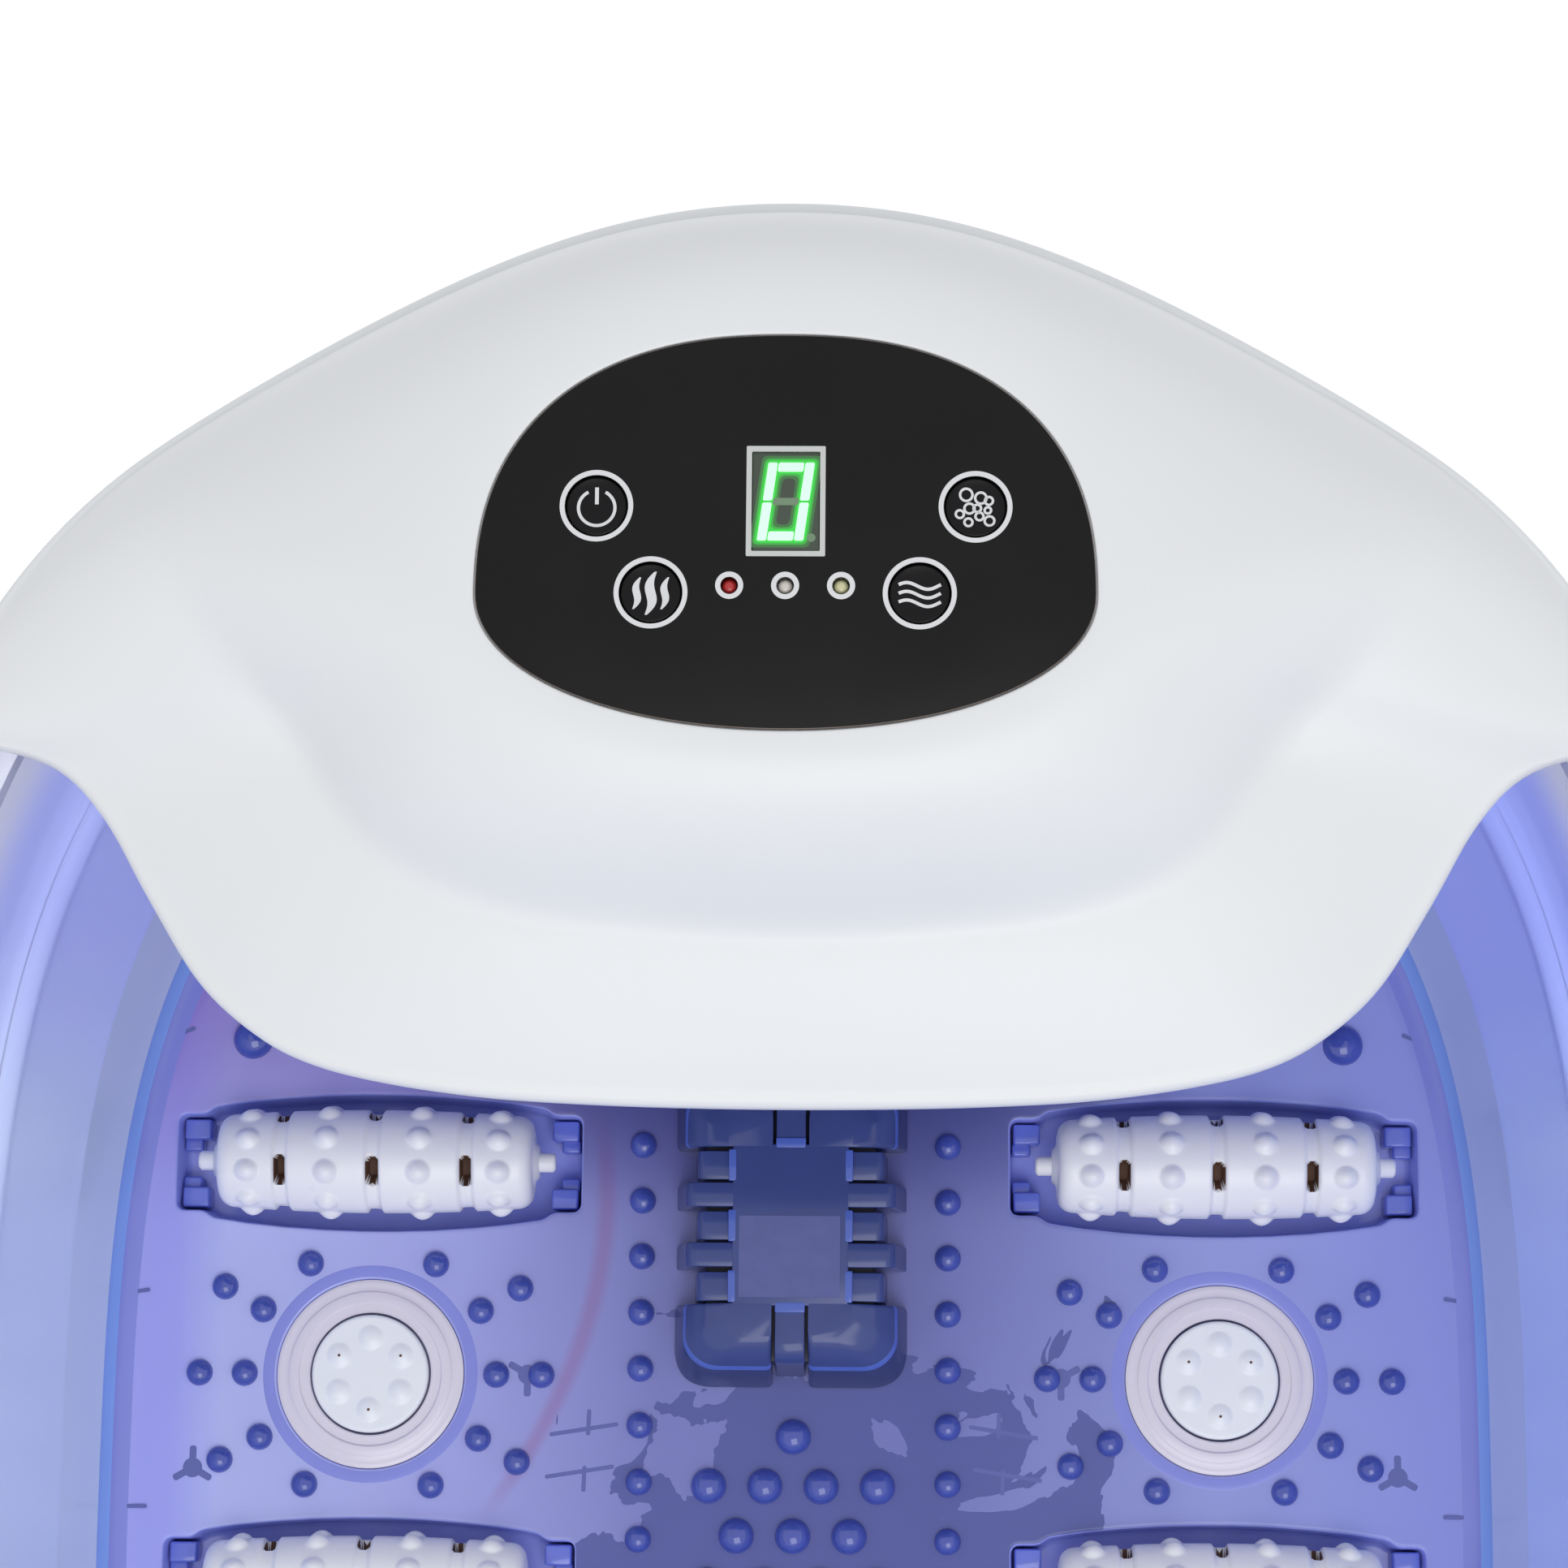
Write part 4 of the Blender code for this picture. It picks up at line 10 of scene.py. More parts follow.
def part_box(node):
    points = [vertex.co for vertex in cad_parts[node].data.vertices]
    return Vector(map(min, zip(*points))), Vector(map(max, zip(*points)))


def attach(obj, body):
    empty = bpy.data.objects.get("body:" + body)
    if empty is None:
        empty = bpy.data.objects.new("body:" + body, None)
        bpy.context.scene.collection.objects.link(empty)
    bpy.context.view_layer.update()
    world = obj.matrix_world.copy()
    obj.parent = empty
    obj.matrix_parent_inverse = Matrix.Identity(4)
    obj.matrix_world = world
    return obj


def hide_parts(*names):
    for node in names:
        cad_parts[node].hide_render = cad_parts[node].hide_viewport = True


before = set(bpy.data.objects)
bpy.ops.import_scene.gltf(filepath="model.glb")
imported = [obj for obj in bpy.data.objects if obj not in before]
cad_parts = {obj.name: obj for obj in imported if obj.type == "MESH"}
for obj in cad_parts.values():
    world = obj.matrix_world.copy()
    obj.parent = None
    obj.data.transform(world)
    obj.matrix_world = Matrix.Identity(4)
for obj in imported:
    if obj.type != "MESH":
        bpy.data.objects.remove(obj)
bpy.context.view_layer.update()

MM = 0.001
SIDES = (-1, 1)


def box(node):
    """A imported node's lowest and highest corner, in millimetres."""
    return [Vector(corner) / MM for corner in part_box(node)]


# Driving sizes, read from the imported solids
BASIN_LOW, BASIN_HIGH = box("basin")
BASIN_LENGTH = BASIN_HIGH.y - BASIN_LOW.y
REAR_SHARE = 0.46287
HALF_WIDTH = BASIN_HIGH.x
REAR = BASIN_LENGTH * REAR_SHARE
FRONT = BASIN_LENGTH - REAR
MIDDLE_Y = BASIN_LOW.y + REAR
RIM_Z = BASIN_HIGH.z
PANEL_Z = box("control_overlay")[1].z
STEM_Z = box("power_button")[0].z
FOOT_Z = box("foot_front_left")[1].z
ROLLER_LOW, ROLLER_HIGH = box("roller_front_right")

# Basin
WALL = 2.6
FLOOR_Z = RIM_Z - 105
FLOOR_SIZES = (HALF_WIDTH - 34.7, FRONT - 45, REAR - 32)
FLANGE = 12.5
RIM_ROUND = 2.2
RIM_DROP = 12
OUTLINE_POWER = 3.0
OUTLINE_POINTS = 192
FLOOR_FILLET = 6
BAND = 0.5
LEDGE_Z = 119
LEDGE = 2.6
WALL_FOOT = 20.5
WALL_BULGE = 0.9

# Places on the floor
ROLLER_X = HALF_WIDTH / 2
ROLLER_YS = (65.5, -25.7)
ROLLER_HALF = 34.25
DISC_X = ROLLER_X + 0.7
DISC_Y = 19.9
AXIS_Z = (ROLLER_LOW.z + ROLLER_HIGH.z) / 2
GUARD = (-0.7, 51.6)
HEATER_HALF = (15, 20)
ROLLER_COUNT = 4
OPEN_RECESS = 6

# Panel
PANEL_Y = FRONT - 58.5
PANEL_SIZES = (57.5, 49.5, 25.7)
PANEL_POWERS = (2.37, 2.08)
UPPER_X, UPPER_Y = 35.2, PANEL_Y + 16.5
LOWER_X = 24.9
DISPLAY_Y = PANEL_Y + 17.5
LED_X, LED_Y = 10.35, PANEL_Y + 1.4
CAP_TOP = PANEL_Z - 0.5
DIGIT_SLANT = 0.14

# Cover
COVER_HALF = HALF_WIDTH + 3.2
COVER_FRONT = FRONT + 3.2
NOSE = 21.5
NOSE_HALF = 125
EDGE_Z = RIM_Z + 4.5
EDGE_ROUND = 2.4
BRIM_Z = EDGE_Z + 7.5
CREASE_Z = BRIM_Z - 1
LIP_Z = RIM_Z - 2
BRIM_POWER = 1.4
CREASE_BLEND = 3.6


# Numbers and lines

def shares(count):
    return [k / count for k in range(count + 1)]


def turns(count):
    """Angles of a full turn in equal steps."""
    return [2 * pi * k / count for k in range(count)]


def smooth_step(value):
    value = max(0.0, min(1.0, value))
    return value * value * (3 - 2 * value)


def signed_power(value, power):
    return copysign(abs(value) ** power, value)


def bump(away, radius, height):
    """Height of a round bump at a distance from its middle."""
    share = min(away / radius, 1.0)
    return height * (1 - share * share)


def quarter(radius, steps=5):
    """(outward, down) steps of a rounded edge that turns from flat to vertical."""
    return [(radius * sin(pi / 2 * t), radius * (1 - cos(pi / 2 * t))) for t in shares(steps)]


def polar(radius, angle, x=0.0, y=0.0):
    return Vector((x + radius * cos(angle), y + radius * sin(angle)))


def beside(along, distance):
    """A step to the left of a direction."""
    return Vector((-along.y, along.x)).normalized() * distance


def moved(points, x, y):
    return [Vector((p.x + x, p.y + y)) for p in points]


def at_height(points, height):
    return [Vector((p[0], p[1], height)) for p in points]


def circle(x, y, radius, height, count=64):
    return at_height([polar(radius, angle, x, y) for angle in turns(count)], height)


def outline(sizes, grow, height):
    """The bath's rounded outline, counterclockwise from +X."""
    half, front, rear = (size + grow for size in sizes)
    ring = []
    for angle in turns(OUTLINE_POINTS):
        x, y = (signed_power(part, 2 / OUTLINE_POWER) for part in (cos(angle), sin(angle)))
        ring.append(Vector((half * x, y * (front if y > 0 else rear), height)))
    return ring


def wall_sizes(height):
    share = (height - FLOOR_Z) / (RIM_Z - FLOOR_Z)
    return [a + share * (b - FLANGE - a) for a, b in zip(FLOOR_SIZES, (HALF_WIDTH, FRONT, REAR))]


def round_corners(points, radii, steps=6):
    """A closed polygon of (x, y) points with rounded corners."""
    radii = radii if isinstance(radii, list) else [radii] * len(points)
    result = []
    for i, radius in enumerate(radii):
        here = Vector(points[i])
        before = Vector(points[i - 1]) - here
        after = Vector(points[(i + 1) % len(points)]) - here
        if radius <= 0:
            result.append(here)
            continue
        cut = min(radius, before.length * 0.49, after.length * 0.49)
        start = here + before.normalized() * cut
        end = here + after.normalized() * cut
        result += [start * (1 - t) ** 2 + here * 2 * t * (1 - t) + end * t ** 2 for t in shares(steps)]
    return result


def rectangle(a, b, radius, steps=6):
    return round_corners([(a, b), (-a, b), (-a, -b), (a, -b)], radius, steps)


def offset_line(points, distance):
    """A closed line of flat points moved outward along its normals."""
    result = []
    for i, here in enumerate(points):
        before, after = points[i - 1], points[(i + 1) % len(points)]
        along = Vector((after[0] - before[0], after[1] - before[1])).normalized()
        result.append(Vector((here[0] + along.y * distance, here[1] - along.x * distance)))
    return result


def curve_through(points, steps):
    """A smooth line that starts level at X zero, with this many steps between each two points."""
    line = [Vector((-points[1].x, points[1].y))] + points + [points[-1] * 2 - points[-2]]
    result = []
    for i in range(len(points) - 1):
        before, start, end, after = line[i:i + 4]
        for t in shares(steps)[:-1]:
            point = start * 2 + (end - before) * t
            point = point + (before * 2 - start * 5 + end * 4 - after) * t ** 2
            result.append((point + (start * 3 - before - end * 3 + after) * t ** 3) / 2)
    return result + [points[-1]]


def even(points, count):
    """Points at equal distances along a line."""
    ways = [0.0]
    for first, second in zip(points, points[1:]):
        ways.append(ways[-1] + (second - first).length)
    result = []
    i = 0
    for t in shares(count):
        goal = ways[-1] * t
        while i < len(ways) - 2 and ways[i + 1] < goal:
            i += 1
        result.append(points[i].lerp(points[i + 1], (goal - ways[i]) / (ways[i + 1] - ways[i])))
    return result


def within(x, y, ring):
    """Whether a place lies inside a closed ring of points."""
    inside = False
    for before, here in zip(ring[-1:] + ring, ring):
        if (before.y > y) != (here.y > y):
            share = (y - before.y) / (here.y - before.y)
            inside ^= x < before.x + share * (here.x - before.x)
    return inside


# Meshes

def shape(verts, faces):
    mesh = bpy.data.meshes.new("part")
    mesh.from_pydata([tuple(v) for v in verts], [], faces)
    mesh.validate()
    mesh.update()
    return mesh


def edited(mesh, change):
    """Change a mesh through a function that works on its editable form."""
    work = bmesh.new()
    work.from_mesh(mesh)
    change(work)
    work.to_mesh(mesh)
    work.free()
    return mesh


def weld(mesh, distance=1e-4):
    return edited(mesh, lambda work: bmesh.ops.remove_doubles(work, verts=work.verts, dist=distance))


def facing_out(mesh):
    return edited(mesh, lambda work: bmesh.ops.recalc_face_normals(work, faces=work.faces))


def face_up(work):
    work.normal_update()
    for face in work.faces:
        if face.normal.z < 0:
            face.normal_flip()


def painted(mesh, slot):
    mesh.polygons.foreach_set("material_index", [slot] * len(mesh.polygons))
    return mesh


def merged(meshes, slots=None):
    """Several meshes in one, each with its own material number if slots are given."""
    for mesh, slot in zip(meshes, slots or ()):
        painted(mesh, slot)

    def gather(work):
        for mesh in meshes:
            work.from_mesh(mesh)
    return edited(bpy.data.meshes.new("merged"), gather)


def loft(rings, slots=None, caps=(0, 0), closed=True):
    """Rings of points of equal count, joined in turn; slots gives each band's material, and
    caps says whether the first and the last ring are closed."""
    count = len(rings[0])
    slots = slots or [0] * (len(rings) - 1)
    verts = [point for ring in rings for point in ring]
    faces, kinds = [], []
    for row, slot in enumerate(slots):
        a = row * count
        for i in range(count if closed else count - 1):
            j = (i + 1) % count
            faces.append((a + i, a + j, a + count + j, a + count + i))
            kinds.append(slot)
    if caps[0]:
        faces.append(tuple(range(count))[::-1])
        kinds.append(slots[0])
    if caps[1]:
        faces.append(tuple(range(len(verts) - count, len(verts))))
        kinds.append(slots[-1])
    mesh = shape(verts, faces)
    mesh.polygons.foreach_set("material_index", kinds)
    return mesh


def turned(profile, steps, centre=(0, 0), slots=None, caps=None):
    """A profile of (radius, height) points turned about a vertical axis."""
    rings = [circle(*centre, radius, height, steps) for radius, height in profile]
    return weld(loft(rings, slots, caps or (profile[0][0], profile[-1][0])))


def filled(outer, holes=()):
    """A flat sheet that faces up, between an outer ring and hole rings at one height."""
    points, edges = [], []
    for ring in (outer, *holes):
        first = len(points)
        points += [Vector((p.x, p.y)) for p in ring]
        edges += [(first + i, first + (i + 1) % len(ring)) for i in range(len(ring))]
    found, _, faces, _, _, _ = delaunay_2d_cdt(points, edges, [], 0, 1e-6)
    kept = []
    for face in faces:
        x, y = (sum(found[i][axis] for i in face) / 3 for axis in (0, 1))
        if within(x, y, outer) and not any(within(x, y, hole) for hole in holes):
            kept.append(face)
    return edited(shape([(p.x, p.y, outer[0].z) for p in found], kept), face_up)


def rounded_box(first, second, bevel, segments=3):
    """A box between two opposite corners, with rounded edges."""
    low, high = (Vector(map(pick, first, second)) for pick in (min, max))

    def build(work):
        bmesh.ops.create_cube(work, size=1.0)
        bmesh.ops.scale(work, vec=high - low, verts=work.verts)
        bmesh.ops.translate(work, vec=(low + high) / 2, verts=work.verts)
        bmesh.ops.bevel(work, geom=work.edges[:], offset=bevel, segments=segments, profile=0.5,
                        affect="EDGES", clamp_overlap=True)
    return edited(bpy.data.meshes.new("box"), build)


def new_object(name, data):
    obj = bpy.data.objects.new(name, data)
    bpy.context.scene.collection.objects.link(obj)
    return obj


def add_piece(name, mesh, materials, replaced=None, body="housing", sharp=None, wall=0):
    """Link a piece, bring it into the row frame and let it ride on its body. Edges stay sharp
    above the angle sharp, and an open sheet is thickened inward to a wall."""
    mesh.transform(Matrix.Scale(MM, 4) @ Matrix.Translation((0, MIDDLE_Y, 0)))
    for material in materials.split():
        mesh.materials.append(bpy.data.materials[material])
    mesh.shade_smooth()
    if sharp is not None:
        mesh.set_sharp_from_angle(angle=radians(sharp))
    obj = new_object(name, mesh)
    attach(obj, body)
    if replaced:
        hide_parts(replaced)
    if wall:
        shell = obj.modifiers.new("shell", "SOLIDIFY")
        shell.thickness = wall * MM
        shell.offset = -1.0
        shell.use_quality_normals = True
    return obj


# Materials

def srgb(colour):
    """A screen colour from 0 to 255 as linear light."""
    parts = [value / 255 for value in colour]
    return (*(v / 12.92 if v <= 0.04045 else ((v + 0.055) / 1.055) ** 2.4 for v in parts), 1)


def feed(node, inputs):
    """Give a node's inputs their values, or join them to other nodes' sockets."""
    for key, value in inputs.items():
        if isinstance(value, bpy.types.NodeSocket):
            node.id_data.links.new(value, node.inputs[key])
        else:
            node.inputs[key].default_value = value
    return node


def new_material(name, **sockets):
    """A new material's shader, with constants on its sockets."""
    material = bpy.data.materials.new(name)
    material.use_nodes = True
    shader = material.node_tree.nodes["Principled BSDF"]
    return feed(shader, {key.replace("_", " "): value for key, value in sockets.items()})


def add_node(kind, inputs, tree=None, **settings):
    """A node in the tree that it is given, or else in that of the sockets that feed it."""
    sockets = [value for value in inputs.values() if isinstance(value, bpy.types.NodeSocket)]
    node = (tree or sockets[0].id_data).nodes.new("ShaderNode" + kind)
    for key, value in settings.items():
        setattr(node, key, value)
    return feed(node, inputs)


def calc(operation, first, second=0.0):
    """An operation on two numbers or sockets, as a socket."""
    return add_node("Math", {0: first, 1: second}, operation=operation).outputs[0]


def times(first, second):
    return calc("MULTIPLY", first, second)


def ramp(factor, stops):
    """Colours along a factor, from (place, linear colour) stops."""
    node = add_node("ValToRGB", {"Fac": factor})
    elements = node.color_ramp.elements
    while len(elements) < len(stops):
        elements.new(1.0)
    for element, (place, colour) in zip(elements, stops):
        element.position = place
        element.color = colour
    return node.outputs["Color"]


def blend(factor, first, second):
    """A colour mixed with a screen colour by a factor."""
    inputs = {"Factor": factor, "A": first, "B": srgb(second)}
    return add_node("Mix", inputs, data_type="RGBA").outputs["Result"]


def reach(value, low, high, start=0.0, end=1.0, way="SMOOTHSTEP"):
    """A value's place between two limits, eased."""
    inputs = {"Value": value, "From Min": low, "From Max": high, "To Min": start, "To Max": end}
    return add_node("MapRange", inputs, interpolation_type=way).outputs["Result"]


def places(shader):
    """Object coordinates, and their three parts in millimetres."""
    place = add_node("TexCoord", {}, shader.id_data).outputs["Object"]
    split = add_node("SeparateXYZ", {"Vector": place})
    return place, *(times(split.outputs[axis], 1 / MM) for axis in "XYZ")


def noise(place, scale, detail, distortion=0.0):
    inputs = {"Vector": place, "Scale": scale, "Detail": detail, "Distortion": distortion}
    return add_node("TexNoise", inputs).outputs["Fac"]


def grain(shader, scale, strength):
    """A fine moulded bump in object space."""
    height = noise(places(shader)[0], scale, 4.0)
    skin = add_node("Bump", {"Strength": strength, "Distance": 0.05 * MM, "Height": height})
    feed(shader, {"Normal": skin.outputs["Normal"]})


def moulded(name, colour, roughness, spread, scale=60, strength=0.02, **sockets):
    """Moulded plastic: a slow change of tone and roughness, and a fine skin."""
    shader = new_material(name, Base_Color=srgb(colour), Roughness=roughness, **sockets)
    slow = noise(places(shader)[0], scale, 3.0)
    tones = [(place, [min(1.0, c * (1 + turn * spread)) for c in srgb(colour)[:3]] + [1])
             for place, turn in ((0.35, -1), (0.65, 1))]
    rough = reach(slow, 0.0, 1.0, roughness * 0.9, roughness * 1.12, "LINEAR")
    feed(shader, {"Base Color": ramp(slow, tones), "Roughness": rough})
    grain(shader, 900.0, strength)


def across(x, stops):
    """Screen colours along the way from the bath's left to its right."""
    share = calc("ADD", times(x, 0.5 / HALF_WIDTH), 0.5)
    return ramp(share, [(place, srgb(colour)) for place, colour in stops])


def wall_blue():
    """Frosted clear blue plastic of the walls: paler on the left and deeper to the right as painted
    light from one side, a painted shade under the cover and a painted highlight band towards the rim.
    """
    shader = new_material("wall_blue", Roughness=0.28, Transmission_Weight=0.8,
                          Specular_IOR_Level=0.35)
    place, x, y, z = places(shader)
    # paler on the left, deeper to the right: painted light falling from one side
    colour = across(x, ((0.1, (202, 215, 255)), (0.9, (178, 195, 255))))
    # painted shade: deeper blue on the walls where they stand under the cover
    cover_shade = reach(y, MIDDLE_Y + 60, MIDDLE_Y + 115, 0.0, 0.4)
    colour = blend(cover_shade, colour, (150, 152, 255))
    # painted highlight: a paler band along the wall just under the rim
    colour = blend(reach(z, RIM_Z - 22, RIM_Z - 4), colour, (230, 233, 248))
    soft = reach(noise(place, 14.0, 3.0, 0.3), 0.35, 0.7, 0.0, 0.12)
    colour = blend(soft, colour, (214, 222, 255))
    feed(shader, {"Base Color": colour})


def wall_foot():
    """Milky blue of the walls' foot, where the base stands behind them."""
    shader = new_material("wall_foot", Roughness=0.28, Specular_IOR_Level=1.0, Coat_Weight=0.5)
    # paler on the left, deeper to the right: painted light falling from one side, as on the wall above
    colour = across(places(shader)[1], ((0.1, (216, 231, 255)), (0.9, (199, 215, 255))))
    feed(shader, {"Base Color": colour})


def floor_blue():
    """Glossy floor: darker to the middle, violet under the cover's left, a painted shadow under the
    cover's lip, with darker patches of crisp outline near the guard and a soft reddish line where a wire
    lies below."""
    shader = new_material("floor_blue", Roughness=0.17, Specular_IOR_Level=0.35)
    place, x, y, _ = places(shader)
    colour = across(x, (
        (0.13, (172, 174, 250)), (0.16, (192, 198, 250)), (0.3, (172, 176, 238)),
        (0.42, (132, 136, 200)), (0.58, (124, 129, 194)), (0.75, (160, 167, 230)),
        (0.9, (152, 160, 234))))
    violet = times(reach(y, MIDDLE_Y + 45, MIDDLE_Y + 110), reach(x, 20, -110, 0.0, 0.75))
    colour = blend(violet, colour, (150, 118, 205))
    down = times(calc("SUBTRACT", MIDDLE_Y + 58, y), 1 / 56)
    bend = times(times(down, down), 17)
    away = calc("ABSOLUTE", calc("ADD", calc("ADD", x, 41), bend))
    wire = times(reach(away, 0.3, 3.2, 0.36, 0.0), reach(down, -0.4, -0.1))
    wire = times(wire, reach(down, 1.0, 1.25, 1.0, 0.0))
    colour = blend(wire, colour, (158, 88, 150))
    off_x = times(calc("SUBTRACT", x, 14), 1 / 52)
    off_y = times(calc("SUBTRACT", y, MIDDLE_Y - 12), 1 / 46)
    far = calc("ADD", times(off_x, off_x), times(off_y, off_y))
    # painted shadow under the cover's lip, darkest towards the middle
    shade = times(reach(y, MIDDLE_Y + 48, MIDDLE_Y + 86, 0.0, 0.9),
                  reach(calc("ABSOLUTE", x), 35, 85, 1.0, 0.0))
    colour = blend(shade, colour, (70, 74, 136))
    speck = calc("SUBTRACT", noise(place, 30.0, 4.0, 1.4), times(far, 0.14))
    patch = times(calc("GREATER_THAN", speck, 0.34), 0.85)
    feed(shader, {"Base Color": blend(patch, colour, (84, 92, 160))})


# Moulded materials: name, screen colour, roughness, spread and scale of the slow change, strength
# of the fine bump
MOULDED = (
    ("white_shell", (236, 238, 240), 0.42, 0.008, 12, 0.05),
    ("base_white", (238, 240, 243), 0.4, 0.008, 12, 0.05),
    # painted highlight: the bright line where the wall meets the floor
    ("edge_line", (142, 178, 252), 0.2, 0.01),
    ("rib_blue", (98, 106, 176), 0.2, 0.02),
    ("band_blue", (141, 148, 229), 0.2, 0.02),
    ("clear_blue_nub", (70, 86, 178), 0.08, 0.03),
    ("cradle_blue", (108, 124, 220), 0.15, 0.03),
    ("deep_blue", (168, 176, 250), 0.2, 0.03),
    ("guard_blue", (66, 79, 138), 0.16, 0.04, 40, 0.03),
    # painted shade for the guard's sides
    ("guard_side", (58, 68, 118), 0.2, 0.03, 40, 0.02),
    # painted highlight for the guard's edges
    ("guard_edge", (86, 110, 198), 0.12, 0.03, 40, 0.02),
    # painted shade: near-black core that shows as shadow in the gaps under the straps
    ("guard_core", (26, 28, 52), 0.5, 0.03, 40, 0.02),
    ("guard_field", (92, 99, 160), 0.2, 0.03, 300, 0.02),
    ("roller_white", (252, 252, 255), 0.28, 0.01, 60, 0.05),
    ("slot_brown", (96, 66, 52), 0.7, 0.1, 200, 0.2),
    ("disc_white", (248, 251, 255), 0.3, 0.01, 60, 0.05),
    ("ring_clear", (232, 226, 238), 0.2, 0.015, 50, 0.03),
    ("panel_black", (26, 25, 26), 0.42, 0.05, 60, 0.04),
    ("panel_print", (226, 227, 229), 0.5, 0.01),
    ("panel_edge", (112, 102, 96), 0.5, 0.04),
    ("button_cap", (24, 22, 24), 0.3, 0.05),
    ("display_bezel", (205, 208, 206), 0.4, 0.01),
    ("display_window", (62, 74, 62), 0.18, 0.05),
    ("display_unlit", (116, 142, 114), 0.3, 0.02),
    ("lamp_red", (190, 44, 44), 0.12, 0.05, 90, 0.02),
    ("lamp_clear", (205, 200, 190), 0.12, 0.02, 90, 0.02),
    ("lamp_yellow", (206, 200, 168), 0.12, 0.02, 90, 0.02),
    ("foot_rubber", (120, 122, 126), 0.8, 0.05, 120, 0.3),
    ("plain_steel", (170, 172, 176), 0.32, 0.04, 150, 0.1),
    ("plain_brass", (190, 160, 96), 0.3, 0.04, 150, 0.1),
    ("circuit_board", (40, 96, 62), 0.45, 0.08, 120, 0.1),
    ("black_plastic", (34, 34, 36), 0.45, 0.05, 120, 0.1),
    ("grey_plastic", (120, 122, 128), 0.45, 0.05, 120, 0.1),
    ("hose_clear", (214, 206, 214), 0.3, 0.02, 120, 0.05),
)

# Their other sockets
SOCKETS = {"white_shell": {"Coat_Weight": 0.05}, "base_white": {"Transmission_Weight": 0.3},
           "clear_blue_nub": {"Coat_Weight": 0.4}, "cradle_blue": {"Coat_Weight": 0.3},
           "guard_blue": {"Specular_IOR_Level": 0.4}, "panel_black": {"Specular_IOR_Level": 0.12},
           "button_cap": {"Specular_IOR_Level": 0.12}, "plain_steel": {"Metallic": 1.0},
           "plain_brass": {"Metallic": 1.0}}

# Lit parts of the display: name, screen colour, colour and strength of the light
LIT = (
    ("display_lit", (225, 255, 232), (90, 255, 120), 0.9),
    ("display_halo", (60, 190, 70), (30, 220, 50), 0.3),
    ("display_shine", (62, 160, 68), (30, 200, 48), 0.2),
    ("display_glow", (64, 112, 66), (30, 160, 44), 0.07),
)


def make_materials():
    wall_blue()
    wall_foot()
    floor_blue()
    for row in MOULDED:
        moulded(*row, **SOCKETS.get(row[0], {}))
    for name, colour, light, strength in LIT:
        moulded(name, colour, 0.4, 0.01, Emission_Color=srgb(light), Emission_Strength=strength)


# Basin

def basin_walls():
    """Rings from the floor's edge up the wall, over the rim and down its flange."""
    rings = [outline(wall_sizes(FLOOR_Z), -FLOOR_FILLET - BAND, FLOOR_Z)]
    for out, rise in quarter(FLOOR_FILLET):
        rings.append(outline(wall_sizes(FLOOR_Z + rise), out - FLOOR_FILLET, FLOOR_Z + rise))
    low, high = FLOOR_Z + FLOOR_FILLET, RIM_Z - 3
    rises = [WALL_FOOT * t for t in shares(3)[1:]]
    rises += [WALL_FOOT + (LEDGE_Z - low - WALL_FOOT) * t for t in shares(5)[1:]]
    steps = [(low + rise, LEDGE * rise / (LEDGE_Z - low)) for rise in rises]
    steps += [(LEDGE_Z + 0.7, LEDGE * 0.75), (LEDGE_Z + 1.5, LEDGE * 0.25), (LEDGE_Z + 2.4, 0.0)]
    steps += [(LEDGE_Z + (high - LEDGE_Z) * t, 0.0) for t in shares(4)[1:]]
    for height, inward in steps:
        bulge = WALL_BULGE * sin(pi * (height - low) / (high - low))
        rings.append(outline(wall_sizes(height), bulge - inward, height))
    rim = (HALF_WIDTH, FRONT, REAR)
    rings += [outline(rim, out - RIM_ROUND, RIM_Z - down) for out, down in quarter(RIM_ROUND)]
    return rings + [outline(rim, 0, RIM_Z - RIM_DROP)]


def pocket_plan(x, y):
    """Boat-shaped pocket with the axle's pockets at its ends."""
    end, boat, narrow, shoulder, middle = 44.3, 36.85, 10.45, 12.0, 14.85
    upper = [(end, narrow), (boat + 1.4, narrow), (boat - 0.6, shoulder)]
    for t in shares(9)[1:-1]:
        upper.append((boat * (1 - 2 * t), shoulder + bump(abs(1 - 2 * t), 1, middle - shoulder)))
    upper += [(-a, b) for a, b in upper[2::-1]]
    radii = [2.2, 1.6, 1.2] + [0] * 8 + [1.2, 1.6, 2.2]
    return moved(round_corners(upper + [(-a, -b) for a, b in upper], radii * 2), x, y)


def sunk(plan, depth, lean=0.6, lip=0.6):
    """Rings of a pocket: a rounded lip, a wall that leans in, and a rounded floor edge."""
    foot = 1.2
    steps = [(lip + BAND, 0)] + [(lip - out, down) for out, down in quarter(lip, 3)]
    steps += [(-lean - down, depth - foot + out) for out, down in quarter(foot, 3)]
    return [at_height(offset_line(plan, out), FLOOR_Z - down) for out, down in steps]


def floor_recesses():
    """Rings of the rollers' pockets, of the discs' seats and of the heater's, in this order. The
    heater's ends in an opening."""
    recesses = [sunk(pocket_plan(x, y), 10) for y, x in product(ROLLER_YS, (-ROLLER_X, ROLLER_X))]
    recesses += [sunk(circle(x, DISC_Y, 20.3, 0, 96), 3.4, 0, 0.5) for x in (-DISC_X, DISC_X)]
    return recesses + [sunk(moved(rectangle(*HEATER_HALF, 3), 0, GUARD[1]), 2.2, 0, 0.5)[:6]]


